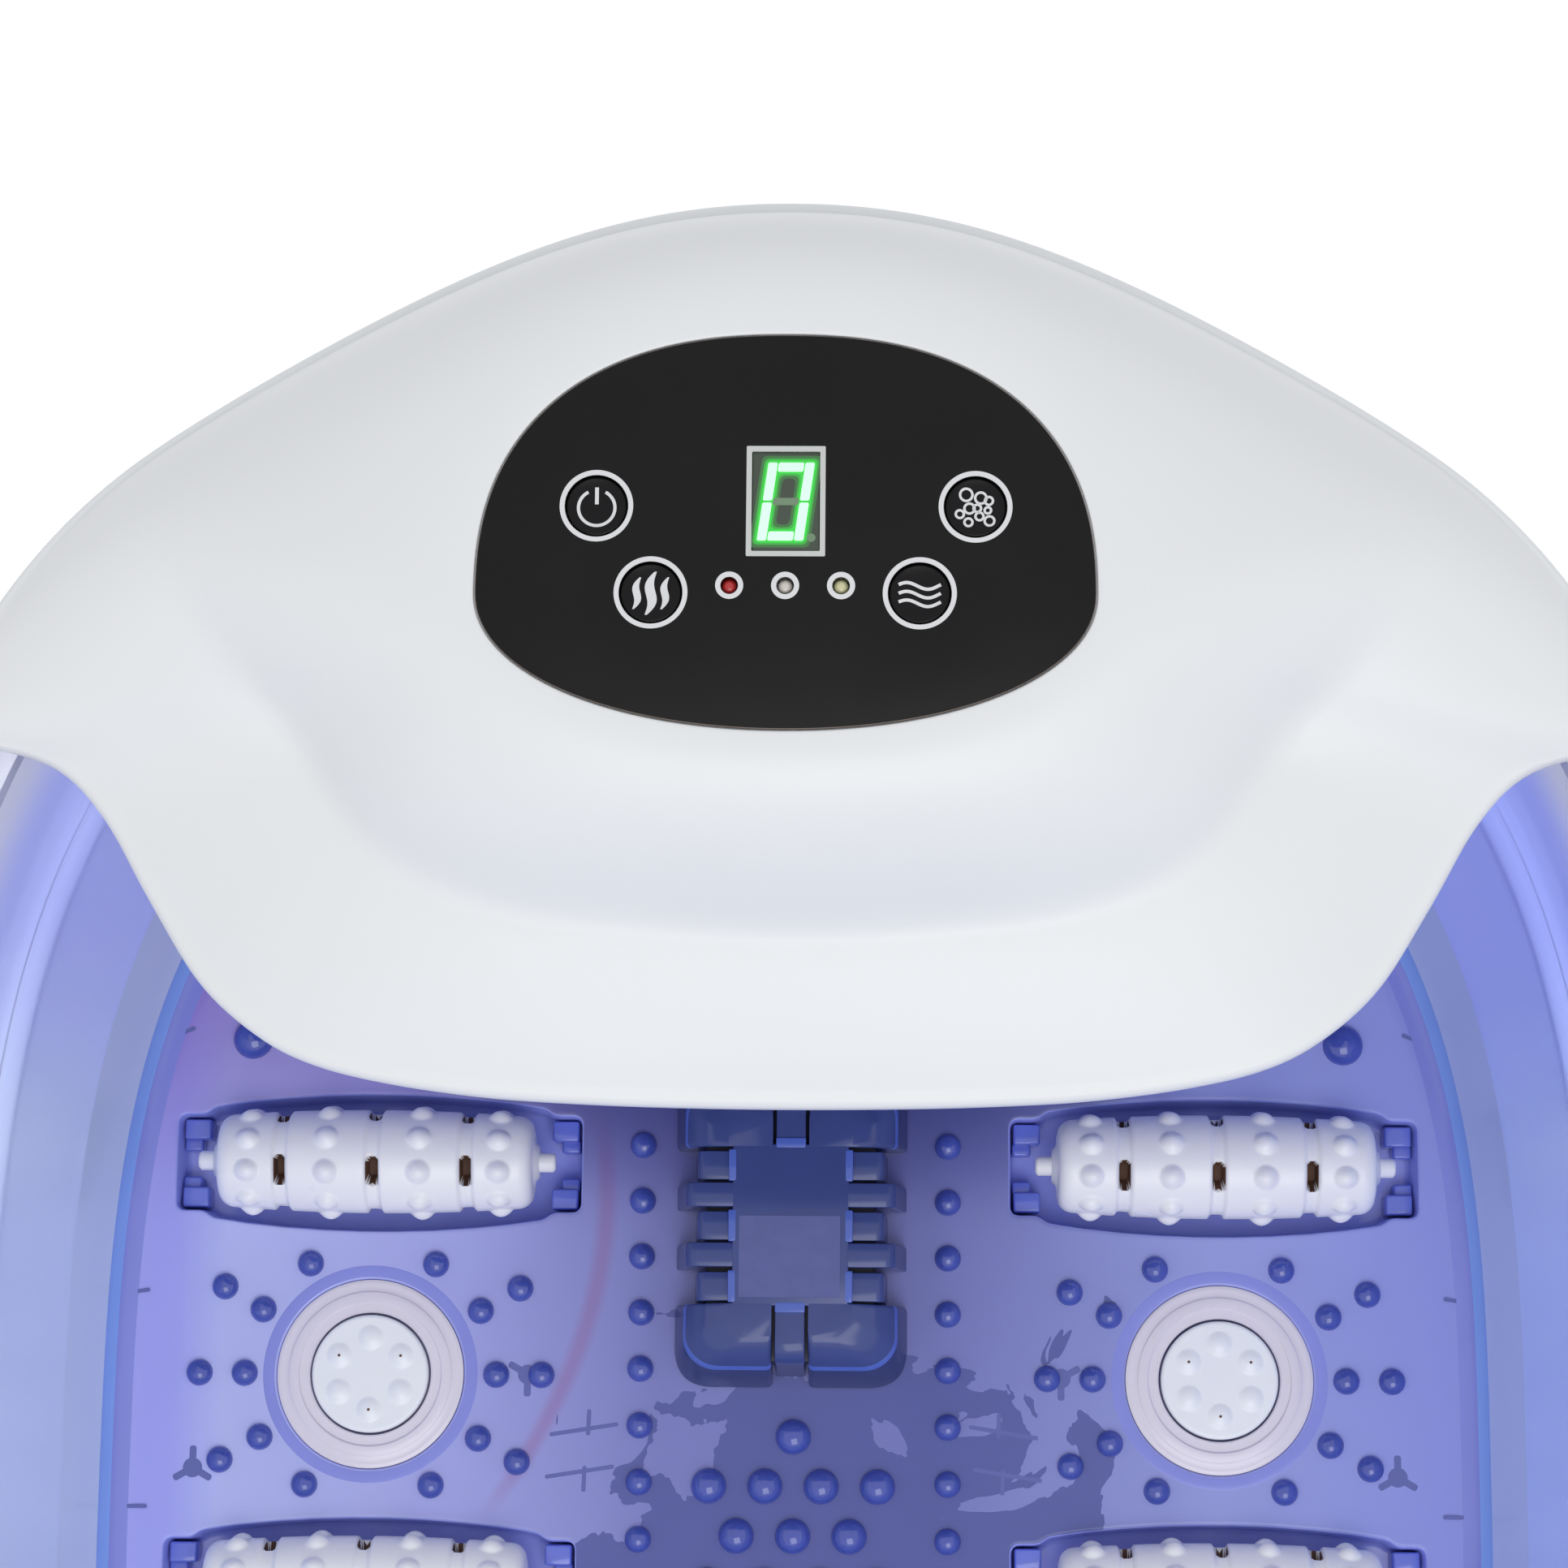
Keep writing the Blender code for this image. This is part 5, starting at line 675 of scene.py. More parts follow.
def basin_mesh():
    """Slots: floor, pockets, painted highlight line round the floor, band beside it, the wall's foot and
    wall.
    """
    rings = basin_walls()
    recesses = floor_recesses()
    walls = loft(rings, [0, 0, 3, 3, 2, 2, 4, 4, 4] + [5] * (len(rings) - 10))
    walls.flip_normals()
    parts = [walls, filled(rings[0], [recess[0] for recess in recesses])]
    for number, recess in enumerate(recesses):
        parts.append(loft(recess, [0, 0] + [1] * (len(recess) - 3)))
        if number < OPEN_RECESS:
            parts.append(painted(filled(recess[-1]), int(number < ROLLER_COUNT)))
    return weld(merged(parts), 1e-3)


def make_basin():
    """The shell's outside takes the next slot, so it is clear wherever it is in view."""
    basin = add_piece("basin_shell", basin_mesh(),
                      "floor_blue deep_blue edge_line band_blue wall_foot wall_blue",
                      "basin", sharp=50, wall=WALL)
    basin.modifiers["shell"].material_offset = 1


def dome(x, y, radius, height, steps=20):
    """A rounded nub that stands on the floor."""
    profile = [(radius, FLOOR_Z - 0.2)]
    profile += [(radius * cos(pi / 2 * t), FLOOR_Z + height * sin(pi / 2 * t)) for t in shares(6)[:-1]]
    return turned(profile + [(0, FLOOR_Z + height)], steps, (x, y))


def floor_nubs():
    small, large = (2.9, 2.6), (3.85, 3.3, 28)
    spots = []
    for x in (-DISC_X, DISC_X):
        for away, angles in ((27.3, (0, 30, 60, 120, 150, 180, 210, 240, 300, 330)),
                             (37.1, (0, 30, 150, 180, 210, 330))):
            spots += [(*polar(away, radians(angle), x, DISC_Y), *small) for angle in angles]
    spots += [(x, 69.7 - row * 12.07, *small) for row in range(10) for x in (-33.2, 33.2)]
    for row, count in enumerate((1, 4, 3, 4, 1)):
        spots += [((k - (count - 1) / 2) * 12.1, 7.1 - row * 10.5, *large) for k in range(count)]
    spots += [(x, 92.5, 4.4, 3.6, 28) for x in (-119.5, 119.5)]
    return merged([dome(*spot) for spot in spots])


def cradle_blocks():
    """Stepped blocks on both sides of each axle end."""
    blocks = ((37.6, 43.4, 5.2, 9.6, 3.0), (39.6, 43.6, 2.8, 5.6, 5.0))
    bottom = FLOOR_Z - 9.5
    return merged([rounded_box((x + side * x0, y + end * y0, bottom),
                               (x + side * x1, y + end * y1, FLOOR_Z - down), 0.5)
                   for y, x, side, end in product(ROLLER_YS, (-ROLLER_X, ROLLER_X), SIDES, SIDES)
                   for x0, x1, y0, y1, down in blocks])


def strip(x, y, tilt, length, width, lift=0.03):
    """A flat mark with round ends on the floor."""
    along = polar(length / 2, radians(tilt))
    side = beside(along, width / 2)
    plan = round_corners([along - side, along + side, side - along, -along - side], width * 0.45, 4)
    return filled(at_height(moved(plan, x, y), FLOOR_Z + lift))


def floor_ribs():
    """Marks of the ribs that show through the floor: stars, barred lines and edge ticks."""
    meshes = []
    for side in SIDES:
        for x, y, first in ((129.6, -0.4, 90), (57.6, 20.0, 30)):
            for tilt in (first, first + 120, first + 240):
                meshes.append(strip(*polar(2.5, radians(tilt), side * x, y), tilt, 4.4, 1.5))
            meshes.append(filled(circle(side * x, y, 2.1, FLOOR_Z + 0.05, 24)))
        for x, y, rise in ((45.2, 8.4, 1.5), (46.0, -0.6, -1.5)):
            meshes.append(strip(side * x, y, side * -9, 15, 0.9))
            meshes.append(strip(side * (x - 1), y + rise, 88, 5.5, 0.9, 0.06))
        for x, y, tilt in ((135.0, 93.8, -22), (143.0, 37.2, -8), (141.9, -8.7, 0)):
            meshes.append(strip(side * x, y, side * tilt, 5.6, 0.8, 0.4))
    return merged(meshes)


def floor_bands():
    """Deeper blue bands round the disc rings."""
    profile = [(radius, FLOOR_Z + lift)
               for radius, lift in ((23.3, 0.01), (23.2, 0.03), (20.9, 0.03), (20.8, 0.01))]
    return merged([turned(profile, 96, (x, DISC_Y), caps=(0, 0)) for x in (-DISC_X, DISC_X)])


def make_floor_details():
    for make, material in ((floor_nubs, "clear_blue_nub"), (cradle_blocks, "cradle_blue"),
                           (floor_ribs, "rib_blue"), (floor_bands, "band_blue")):
        add_piece(make.__name__, make(), material)


# Rollers

def nearest(angle, step):
    """An angle from the nearest of many that are a step apart."""
    return abs((angle + step / 2) % step - step / 2)


def rounded_cell(x, y, half_x, half_y, corner):
    """Distance outside a rounded rectangle; negative inside."""
    dx, dy = x - half_x + corner, y - half_y + corner
    return hypot(max(dx, 0.0), max(dy, 0.0)) + min(max(dx, dy), 0.0) - corner


def roller_radius(x, angle):
    """Radius of the roller's surface: four barrels, nubs, and slots in the grooves."""
    radius = 11.2 - 1.4 * (x / ROLLER_HALF) ** 2
    end = min(max(0.0, abs(x) - (ROLLER_HALF - 3.2)) / 3.2, 1.0)
    radius -= 3.0 * (1 - sqrt(1 - end ** 2))
    for groove in (-20.1, 0.0, 20.1):
        away = abs(x - groove)
        in_slot = rounded_cell(away, nearest(angle, pi / 2) * radius, 1.15, 3.5, 1.0)
        radius -= max(0.9 * smooth_step((1.9 - away) / 0.8), 5.0 * smooth_step(0.5 - in_slot / 0.3))
    off_nub = nearest(angle, 2 * pi / 9) * 11
    away = min(hypot(x - middle, off_nub) for middle in (-27.2, -10.05, 10.05, 27.2))
    return radius + bump(away, 2.65, 1.5)


def roller_mesh():
    """One roller along X, with its axle ends, round the origin. Slots: body, slots' depth."""
    rings = []
    for t in shares(196):
        x = ROLLER_HALF * (2 * t - 1)
        ring = [polar(roller_radius(x, angle), angle + radians(16.5)) for angle in turns(180)]
        rings.append([(x, -p.y, p.x) for p in ring])
    parts = [loft(rings, caps=(1, 1))]
    for face in parts[0].polygons:
        if hypot(*face.center.yz) < 8.6 and abs(face.center.x) < 25:
            face.material_index = 1
    for side in SIDES:
        for steps, profile in ((32, ((2.1, 30), (2.1, 38.3), (1.6, 38.9), (0, 38.9))),
                               (48, ((7.0, 33.9), (4.2, 34.6), (3.4, 35.4), (0, 35.4)))):
            part = turned(profile, steps)
            part.transform(Matrix.Rotation(side * pi / 2, 4, "Y"))
            parts.append(part)
    return merged(parts)


def make_rollers():
    master = roller_mesh()
    for y, row in zip(ROLLER_YS, ("front", "rear")):
        for x, side in ((-ROLLER_X, "left"), (ROLLER_X, "right")):
            mesh = master.copy()
            mesh.transform(Matrix.Translation((x, y, AXIS_Z)))
            name = f"roller_{row}_{side}"
            add_piece(f"{name}_body", mesh, "roller_white slot_brown", name,
                      name, sharp=60)


# Discs

def disc_mesh(x, y):
    """Polar sheet with domes and pinholes, a rounded edge and a skirt. Slots: disc, pinholes."""
    top, flat, steps = FLOOR_Z + 1.1, 11.9, 144
    domes = [polar(7.7, angle + pi / 2) for angle in turns(6)]
    rings = []
    for t in shares(48)[1:]:
        ring = [polar(flat * t, angle) for angle in turns(steps)]
        rings.append([(x + p.x, y + p.y, top + bump(min((p - spot).length for spot in domes), 2.7, 0.75))
                      for p in ring])
    rings += [circle(x, y, flat + out, top - down, steps) for out, down in quarter(0.7, 4)[1:]]
    rings.append(circle(x, y, flat + 0.7, FLOOR_Z - 3, steps))
    parts = [loft(rings[::-1], caps=(1, 1))]
    for angle in (150, 30, 270):
        parts.append(turned(((0.35, top + 0.5), (0.3, top + 0.82), (0, top + 0.83)), 12,
                            polar(7.7, radians(angle), x, y)))
    return merged(parts, [0, 1, 1, 1])


# Section of a disc's ring: radius, and depth below its highest step
RING = ((13.1, 3.5), (13.1, 0.9), (13.4, 0.6), (15.2, 0.6), (15.4, 0.45), (15.45, 0.15), (15.6, 0),
        (17.4, 0), (17.6, 0.1), (17.62, 0.35), (17.8, 0.45), (19.2, 0.45), (19.9, 0.5), (20.2, 0.7),
        (20.2, 3.5), (13.1, 3.5))


def ring_mesh(x, y):
    """Stepped clear ring round a disc, with a groove next to the disc."""
    rings = [circle(x, y, radius, FLOOR_Z + 0.6 - down, 128)[::-1] for radius, down in RING]
    return weld(loft(rings))


def make_discs():
    for side, x in (("left", -DISC_X), ("right", DISC_X)):
        add_piece(f"bubble_disc_{side}_cap", disc_mesh(x, DISC_Y), "disc_white slot_brown",
                  f"bubble_disc_{side}", sharp=55)
        add_piece(f"disc_ring_{side}_clear", ring_mesh(x, DISC_Y), "ring_clear",
                  f"disc_ring_{side}", sharp=35)


# Heater guard

# Straps bent over the guard's sides: half width, rise at the start, start, knee, its radius and
# steps, outer and inner end at the foot, inner side and thickness
LUG = (2.6, 0.2, 11.0, 22.5, 2.4, 5, 24.9, 22.2, 20.4, 3.3)
TONGUE = (3.1, 0.0, 11.6, 20.0, 1.8, 4, 20.8, 18.8, 18.2, 2.6)
END_TONGUE = (3.2, 0.0, 17.0, 29.4, 4.5, 6, 31.6, 28.6, 24.4, 4.0)


def strap(sizes, side, y, base, top):
    """A strap with softened edges, carried across its width; below the knee its outer face takes the
    painted shade of the side."""
    half, rise, start, knee, radius, steps, foot, heel, inner, thick = sizes
    section = [(start, top + rise)]
    section += [(knee - radius + out, top - down) for out, down in quarter(radius, steps)]
    low = section[-1][1]
    section += [(foot, base), (heel, base), (inner, top - thick), (start, top - thick)]
    flat = [Vector((side * a, b)) for a, b in section][::-side]
    soft = 0.45
    bevel = [(-half, soft), (soft * 0.3 - half, soft * 0.3), (soft - half, 0.0)]
    bevel += [(-place, inset) for place, inset in bevel[::-1]]
    rings = [[(p.x, y + place, p.y) for p in offset_line(flat, -inset)] for place, inset in bevel]
    mesh = facing_out(loft(rings, caps=(1, 1)))
    # faces below the knee take the painted shade of the side
    for face in mesh.polygons:
        if face.center.z < low and len(face.vertices) == 4:
            face.material_index = 1
    return mesh


# Rows of an end block: how far it has drawn in to the side and the end, its height, and the
# slot of the faces up to the next row
# Slot 1 is the painted shade of the block's foot, slot 2 a painted highlight along its edge
BLOCK_ROWS = ((0.0, 0.0, 0.0, 1), (0.1, 0.2, 1.0, 1), (2.1, 3.4, 8.4, 2), (2.25, 3.7, 8.9, 2),
              (2.7, 4.2, 9.5, 0), (4.2, 5.4, 11.3, 0), (6.4, 7.2, 13.2, 0), (9.0, 8.8, 14.4, 0),
              (11.5, 10.0, 14.9, 0))


def end_block(side, end, base):
    """Half of a rounded end block, from the slot beside the middle tongue to the corner. Only
    its outer sides slope inward."""
    near, far, inner, outer = 16.7, 34.0, 3.9, 25.1
    plan = round_corners([(inner, near), (outer, near), (outer, far), (inner, far)],
                         [0.6, 1.4, 10.5, 1.4], 10)
    if side * end < 0:
        plan.reverse()
    rings = []
    for in_x, in_y, height, _ in BLOCK_ROWS:
        rings.append([(side * (p.x - in_x * smooth_step((p.x - 6) / 18)),
                       end * (p.y - in_y * smooth_step((p.y - 17) / 16)), base + height) for p in plan])
    slots = [row[3] for row in BLOCK_ROWS[:-1]]
    return facing_out(loft(rings, slots, (1, 1)))


def end_tongue(end, base, top):
    """Tongue in the middle of an end block."""
    # the tip takes the painted highlight of the edges
    tip = rounded_box((16.4, -3.2, top - 3), (18.6, 3.2, top + 0.42), 0.25)
    mesh = merged([strap(END_TONGUE, 1, 0, base, top), painted(tip, 2)])
    mesh.transform(Matrix.Rotation(end * pi / 2, 4, "Z"))
    return mesh


def guard_mesh():
    """Plate with side lugs and tongues between two rounded end blocks. Slots: body, painted shade on
    the sides, painted highlight along the edges, dark core painted as shade in the gaps, plain field."""
    base = FLOOR_Z + 0.3
    top = base + 14.9
    meshes = [rounded_box((-12.4, -17.2, top - 3.2), (12.4, 17.2, top - 0.02), 0.3),
              # near-black core, painted as the shade in the gaps between the straps
              painted(rounded_box((-18.2, -29, base), (18.2, 29, top - 4.6), 0.8), 3),
              painted(rounded_box((-11, -15.4, top - 1), (10.6, 1.9, top + 0.03), 0.02, 1), 4)]
    for side in SIDES:
        meshes += [strap(LUG, side, y, base, top - 0.3) for y in (-6.4, 6.4)]
        for y in (-13.1, -0.2, 12.7):
            meshes.append(strap(TONGUE, side, y, base, top - 1.1))
            # strips at the tongues' inner ends take the painted highlight of the edges
            meshes.append(painted(rounded_box((side * 11.6, y - 3.4, top - 2),
                                              (side * 13.3, y + 3.4, top + 0.02), 0.3), 2))
        meshes += [end_block(side, end, base) for end in SIDES]
    mesh = merged(meshes + [end_tongue(end, base, top - 0.4) for end in SIDES])
    mesh.transform(Matrix.Translation((*GUARD, 0)))
    return mesh


# Cover

# Right half of the lip and of the dome's foot, as shares of the cover's half width and front
LIP_SHARES = ((0.0, 0.3064), (0.1081, 0.3073), (0.2108, 0.31), (0.3135, 0.3155),
              (0.4162, 0.3273), (0.4973, 0.3441), (0.5568, 0.37), (0.6162, 0.415),
              (0.6703, 0.4864), (0.7189, 0.5573), (0.7676, 0.6), (0.8324, 0.6186))
FOOT_SHARES = ((0.0, 0.4495), (0.173, 0.4573), (0.3108, 0.4745), (0.4373, 0.5241),
               (0.5238, 0.6318), (0.62, 0.7336), (0.6595, 0.785), (0.627, 0.865),
               (0.49, 0.955), (0.39, 1.0400), (0.34, 1.1500))
WING_ANGLE = radians(30)
CORNER_REACH = 6


def to_points(line):
    return [Vector((a * COVER_HALF, b * COVER_FRONT)) for a, b in line]


def outer_point(angle):
    x = COVER_HALF * signed_power(cos(angle), 2 / OUTLINE_POWER)
    share = max(0.0, 1 - (abs(x) / COVER_HALF) ** OUTLINE_POWER) ** (1 / OUTLINE_POWER)
    nose = NOSE * cos(pi / 2 * min(abs(x) / NOSE_HALF, 1.0)) ** 2
    return Vector((x, COVER_FRONT * share + nose))


def cover_edge():
    """Right half of the edge, from the lip's middle round the wing to the nose, with the share
    by which each point has left the lip."""
    outer = even([outer_point(WING_ANGLE + (pi / 2 - WING_ANGLE) * t) for t in shares(400)], 72)
    lip = even(curve_through(to_points(LIP_SHARES) + [outer[0]], 8), 88)
    points = lip + outer[1:]
    corner = len(lip) - 1
    for _ in range(14):
        eased = list(points)
        for i in range(corner - CORNER_REACH + 1, corner + CORNER_REACH):
            eased[i] = (points[i - 1] + points[i] * 2 + points[i + 1]) / 4
        points = eased
    return points, [smooth_step((i - corner + CORNER_REACH) / (2 * CORNER_REACH))
                    for i in range(len(points))]


def lip_height(x):
    return LIP_Z + (EDGE_Z - LIP_Z) * smooth_step((abs(x) / COVER_HALF - 0.6) / 0.24)


def foot_share(start, end, line):
    """Share of the way from start to end at which the dome's foot is crossed."""
    for first, second in zip(line, line[1:]):
        found = intersect_line_line_2d(start, end, first, second)
        if found:
            return (found - start).length / (end - start).length
    return 1.0


def smooth_max(a, b, soft):
    near = max(soft - abs(a - b), 0.0) / soft
    return max(a, b) + near * near * soft / 4


def ray_height(t, foot, crease, edge_z, power):
    """Height of the cover's skin at a share t of the way from the panel to its edge. The dome
    falls to a crease at share foot, and where crease is less than one this fades into a
    single bulge."""
    rise = PANEL_Z - CREASE_Z
    dome_z = CREASE_Z + rise * (1 - (t / foot) ** 2)
    if t > foot:
        dome_z = CREASE_Z - 2 * rise * (t / foot - 1)
    along = max(0.0, (t - foot) / (1 - foot))
    brim = BRIM_Z - (BRIM_Z - edge_z) * along ** BRIM_POWER
    back = edge_z + (PANEL_Z - edge_z) * max(0.0, 1 - t ** power) ** (1 / power)
    return crease * smooth_max(dome_z, brim, CREASE_BLEND) + (1 - crease) * back


def panel_point(angle, grow=0.0):
    """Place on the panel's outline, or beside it."""
    half, top, bottom = PANEL_SIZES
    end, power = (top, PANEL_POWERS[0]) if sin(angle) > 0 else (bottom, PANEL_POWERS[1])
    a, b = abs(cos(angle)) / (half + grow), abs(sin(angle)) / (end + grow)
    return polar((a ** power + b ** power) ** (-1 / power), angle, 0, PANEL_Y)


def ray_shapes(starts, points):
    """For each ray: the share where the foot lies, how much of a crease there is, and the
    power of the bulge on the far side."""
    foot = even(curve_through(to_points(FOOT_SHARES), 6), 80)
    feet, creases, powers = [], [], []
    last = 0.5
    for start, end in zip(starts, points):
        found = foot_share(start, end, foot)
        last = found if found < 0.82 else last
        feet.append(last)
        angle = degrees(atan2(end.y - PANEL_Y, end.x))
        creases.append(1 - smooth_step((angle + 16) / 30))
        powers.append(1.5 + 0.8 * smooth_step((angle - 5) / 70))
    for _ in range(10):
        feet = [(before + here * 2 + after) / 4
                for before, here, after in zip(feet[:1] + feet, feet, feet[1:] + feet[-1:])]
    return feet, creases, powers


def cover_mesh():
    """Rings from under the panel over the dome and the brim to the edge and its hem."""
    points, left = cover_edge()
    angles = [atan2(p.y - PANEL_Y, p.x) for p in points]
    rings = [at_height([panel_point(angle, grow) for angle in angles], PANEL_Z - drop)
             for grow, drop in ((-5.5, 1.1), (0.3, 1.1), (0.3, 0.25), (0.45, 0.06), (0.9, 0.0))]
    starts = [panel_point(angle, 2.5) for angle in angles]
    ways = [end - start for start, end in zip(starts, points)]
    edge_heights = [lip_height(p.x) if gone < 0.5 else EDGE_Z for p, gone in zip(points, left)]
    feet, creases, powers = ray_shapes(starts, points)
    for row in shares(44):
        ring = []
        for start, way, *ray in zip(starts, ways, feet, creases, edge_heights, powers):
            share = (1 - EDGE_ROUND / way.length) * row ** 0.95
            ring.append(Vector((*(start + way * share), min(ray_height(share, *ray), PANEL_Z))))
        rings.append(ring)
    heights = [p.z for p in rings[-1]]
    for out, down in quarter(EDGE_ROUND, 6)[1:]:
        rings.append([Vector((*(end - way.normalized() * (EDGE_ROUND - out)), height - down * 0.9))
                      for way, end, height in zip(ways, points, heights)])
    for share in (0.5, 1.0):
        ring = []
        for p, height, gone in zip(points, heights, left):
            on_lip = height - 3.6
            hem = min(on_lip + (RIM_Z + 0.6 - on_lip) * smooth_step(gone * 2), height - 3)
            hem += (RIM_Z - RIM_DROP - hem) * smooth_step((gone - 0.5) * 2)
            start = height - EDGE_ROUND * 0.9
            ring.append(Vector((p.x, p.y, start + (hem - start) * share)))
        rings.append(ring)
    mesh = loft([ring + [Vector((-p.x, p.y, p.z)) for p in ring[-2:0:-1]] for ring in rings])
    mesh.flip_normals()
    return mesh


# Panel

BUTTONS = {"power": (-UPPER_X, UPPER_Y), "bubble": (UPPER_X, UPPER_Y),
           "heating": (-LOWER_X, PANEL_Y), "vibration": (LOWER_X, PANEL_Y)}
LAMPS = {"heating": (-LED_X, "red"), "bubble": (0.0, "clear"), "vibration": (LED_X, "yellow")}

# A cap's dished top: distance from its middle and depth
DISH = ((0.0, 0.55), (2.2, 0.5), (4.2, 0.32), (5.0, 0.08), (1000.0, 0.0))


def overlay_mesh():
    """Black sheet with its holes. Slots: sheet, pale cut edge, white print, bezel."""
    top, bottom = PANEL_Z, PANEL_Z - 0.8
    rings = [at_height([panel_point(angle, -inset) for angle in turns(240)], height)
             for inset, height in ((0, bottom), (0, top - 0.2), (0.05, top - 0.06), (0.14, top))]
    parts = [loft(rings, [1, 1, 1])]
    holes = []
    spots = [(*centre, 6.85, 5.98, 5.9, 72) for centre in BUTTONS.values()]
    spots += [(x, LED_Y, 2.6, 1.7, 1.62, 48) for x, _ in LAMPS.values()]
    for x, y, wide, lip, inner, count in spots:
        hole = ((wide, top), (lip, top), (inner, top - 0.1), (inner, bottom))
        parts.append(turned(hole, count, (x, y), [2, 2, 0], (0, 0)))
        holes.append(circle(x, y, wide, top, count))
    window = [at_height(moved(rectangle(6.35 + wide, 9.55 + wide, 0.25, 3), 0, DISPLAY_Y), height)
              for wide, height in ((1, top), (0, top), (0, bottom))]
    parts += [loft(window, [3, 3]), filled(rings[-1], holes + window[:1])]
    return weld(merged(parts), 1e-3)


def cap_profile():
    skirt = [(1.5, 3.9), (6.7, 3.9), (6.7, 3.0), (5.6, 2.9), (5.6, 0.8), (5.48, 0.58), (5.25, 0.5)]
    return ([(1.5, STEM_Z)] + [(radius, PANEL_Z - down) for radius, down in skirt]
            + [(radius, CAP_TOP - down) for radius, down in DISH[3::-1]])


def dish_height(away):
    """Height of the cap's dished top at a distance from its middle."""
    for (r0, d0), (r1, d1) in zip(DISH, DISH[1:]):
        if away <= r1:
            return CAP_TOP - (d0 + (d1 - d0) * (away - r0) / (r1 - r0))


def stroke(points, width, closed=False):
    """Both sides of a line of even width."""
    points = [Vector(p) for p in points]
    line = [points[-1] if closed else points[0]] + points + [points[0] if closed else points[-1]]
    steps = [beside(after - before, width / 2) for before, after in zip(line, line[2:])]
    return [[p + side * step for p, step in zip(points, steps)] for side in (1, -1)]


def ribbon(left, right, centre, closed=False):
    """A thin printed strip on a dished cap, between two lines of points."""
    middle = [p.lerp(q, 0.5) for p, q in zip(left, right)]
    rings = [[(centre[0] + p.x, centre[1] + p.y, dish_height(p.length) + 0.06) for p in line]
             for line in (left, middle, right)]
    return edited(loft(rings, closed=closed), face_up)


def arc(x, y, radius, start, end, count=36):
    return [polar(radius, radians(start + (end - start) * t), x, y) for t in shares(count)]


def power_icon(centre):
    ring = stroke(arc(0, -0.2, 3.4, 118, 422, 56), 0.6)
    bar = stroke([(0, 3.7), (0, 2.2), (0, 0.5)], 0.7)
    return [ribbon(*ring, centre), ribbon(*bar, centre)]


def bubble_icon(centre):
    bubbles = ((-1.7, 2.5, 1.15), (1.0, 1.9, 1.05), (2.5, 1.35, 0.75), (-1.1, -0.1, 0.95),
               (0.35, -0.05, 0.7), (2.3, -0.45, 0.6), (0.75, -1.6, 0.75), (-2.9, -1.2, 0.75),
               (-1.3, -2.75, 0.75), (2.6, -2.5, 0.9))
    return [ribbon(*stroke(arc(*bubble, 0, 360, 28)[:-1], 0.46, True), centre, True)
            for bubble in bubbles]


def steam_icon(centre):
    """Three leaning flames of steam, the middle one taller."""
    meshes = []
    for x, size in ((-2.6, 0.74), (0.0, 1.0), (2.6, 0.74)):
        sides = [], []
        for share in shares(24):
            t = share - 0.5
            width = 0.95 * sin(pi * min(1.0, 0.93 * share + 0.035)) ** 0.7 * size
            a = x + size * (1.75 * t - 0.62 * sin(2 * pi * t))
            for side, line in zip(SIDES, sides):
                line.append(Vector((a + side * width, size * 8.2 * t)))
        meshes.append(ribbon(*sides, centre))
    return meshes


def wave_icon(centre):
    waves = [[(-3.9 + 7.8 * t, y + 0.62 * sin(2 * pi * t + 0.35)) for t in shares(36)]
             for y in (1.6, -0.05, -1.7)]
    return [ribbon(*stroke(wave, 0.62), centre) for wave in waves]


def lamp_profile():
    radius = 1.45
    low = CAP_TOP - radius * 0.8
    profile = [(2.2, PANEL_Z - 10.6), (2.2, PANEL_Z - 3), (radius, PANEL_Z - 2.9)]
    profile += [(radius * cos(pi / 2 * t), low + radius * 0.8 * sin(pi / 2 * t))
                for t in shares(7)[:-1]]
    return profile + [(0, CAP_TOP)]


def on_display(plan, height, holes=()):
    """A flat part of the digit, leaning to the right, on the display's window."""
    rings = [[Vector((p.x + p.y * DIGIT_SLANT, p.y + DISPLAY_Y, height)) for p in ring]
             for ring in (plan, *holes)]
    return filled(rings[0], rings[1:])


def segment(x0, y0, x1, y1, width, height):
    """One bar of a digit."""
    start, end = Vector((x0, y0)), Vector((x1, y1))
    side = beside(end - start, width / 2)
    plan = [start - side, end - side, end + side, start + side]
    return on_display(round_corners(plan, 0.35, 3), height)


def digit_loop(half_x, half_y, width, height):
    """A closed band of light along the digit's outline."""
    outer, inner = (rectangle(half_x + side, half_y + side, 1.1) for side in (width / 2, -width / 2))
    return on_display(outer, height, [inner])


def display_mesh():
    """Display block with a lit nought, its unlit middle bar and point, and their glow. Slots:
    window, halo, lit, unlit, glow, shine."""
    top = PANEL_Z - 0.45
    block = rounded_box((-6.25, DISPLAY_Y - 9.45, PANEL_Z - 10.6),
                        (6.25, DISPLAY_Y + 9.45, top), 0.15, 2)
    a, b, width, gap = 3.45, 6.6, 1.75, 0.2
    high, inner = b + width / 2, a - width / 2 - gap
    bars = [(-inner, b, inner, b), (-inner, -b, inner, -b), (-a, high, -a, gap), (a, high, a, gap),
            (-a, -gap, -a, -high), (a, -gap, a, -high)]
    lit = [segment(*bar, width, top + 0.05) for bar in bars]
    glow = [digit_loop(a, b, width * wide, top + lift)
            for wide, lift in ((1.5, 0.03), (1.9, 0.02), (2.5, 0.01))]
    bar = segment(-inner, 0, inner, 0, width * 0.8, top + 0.04)
    dot = filled(circle(4.75, DISPLAY_Y - 6.9, 0.8, top + 0.04, 24))
    return merged([block] + lit + glow + [bar, dot], [0] + [2] * len(lit) + [1, 5, 4, 3, 3])


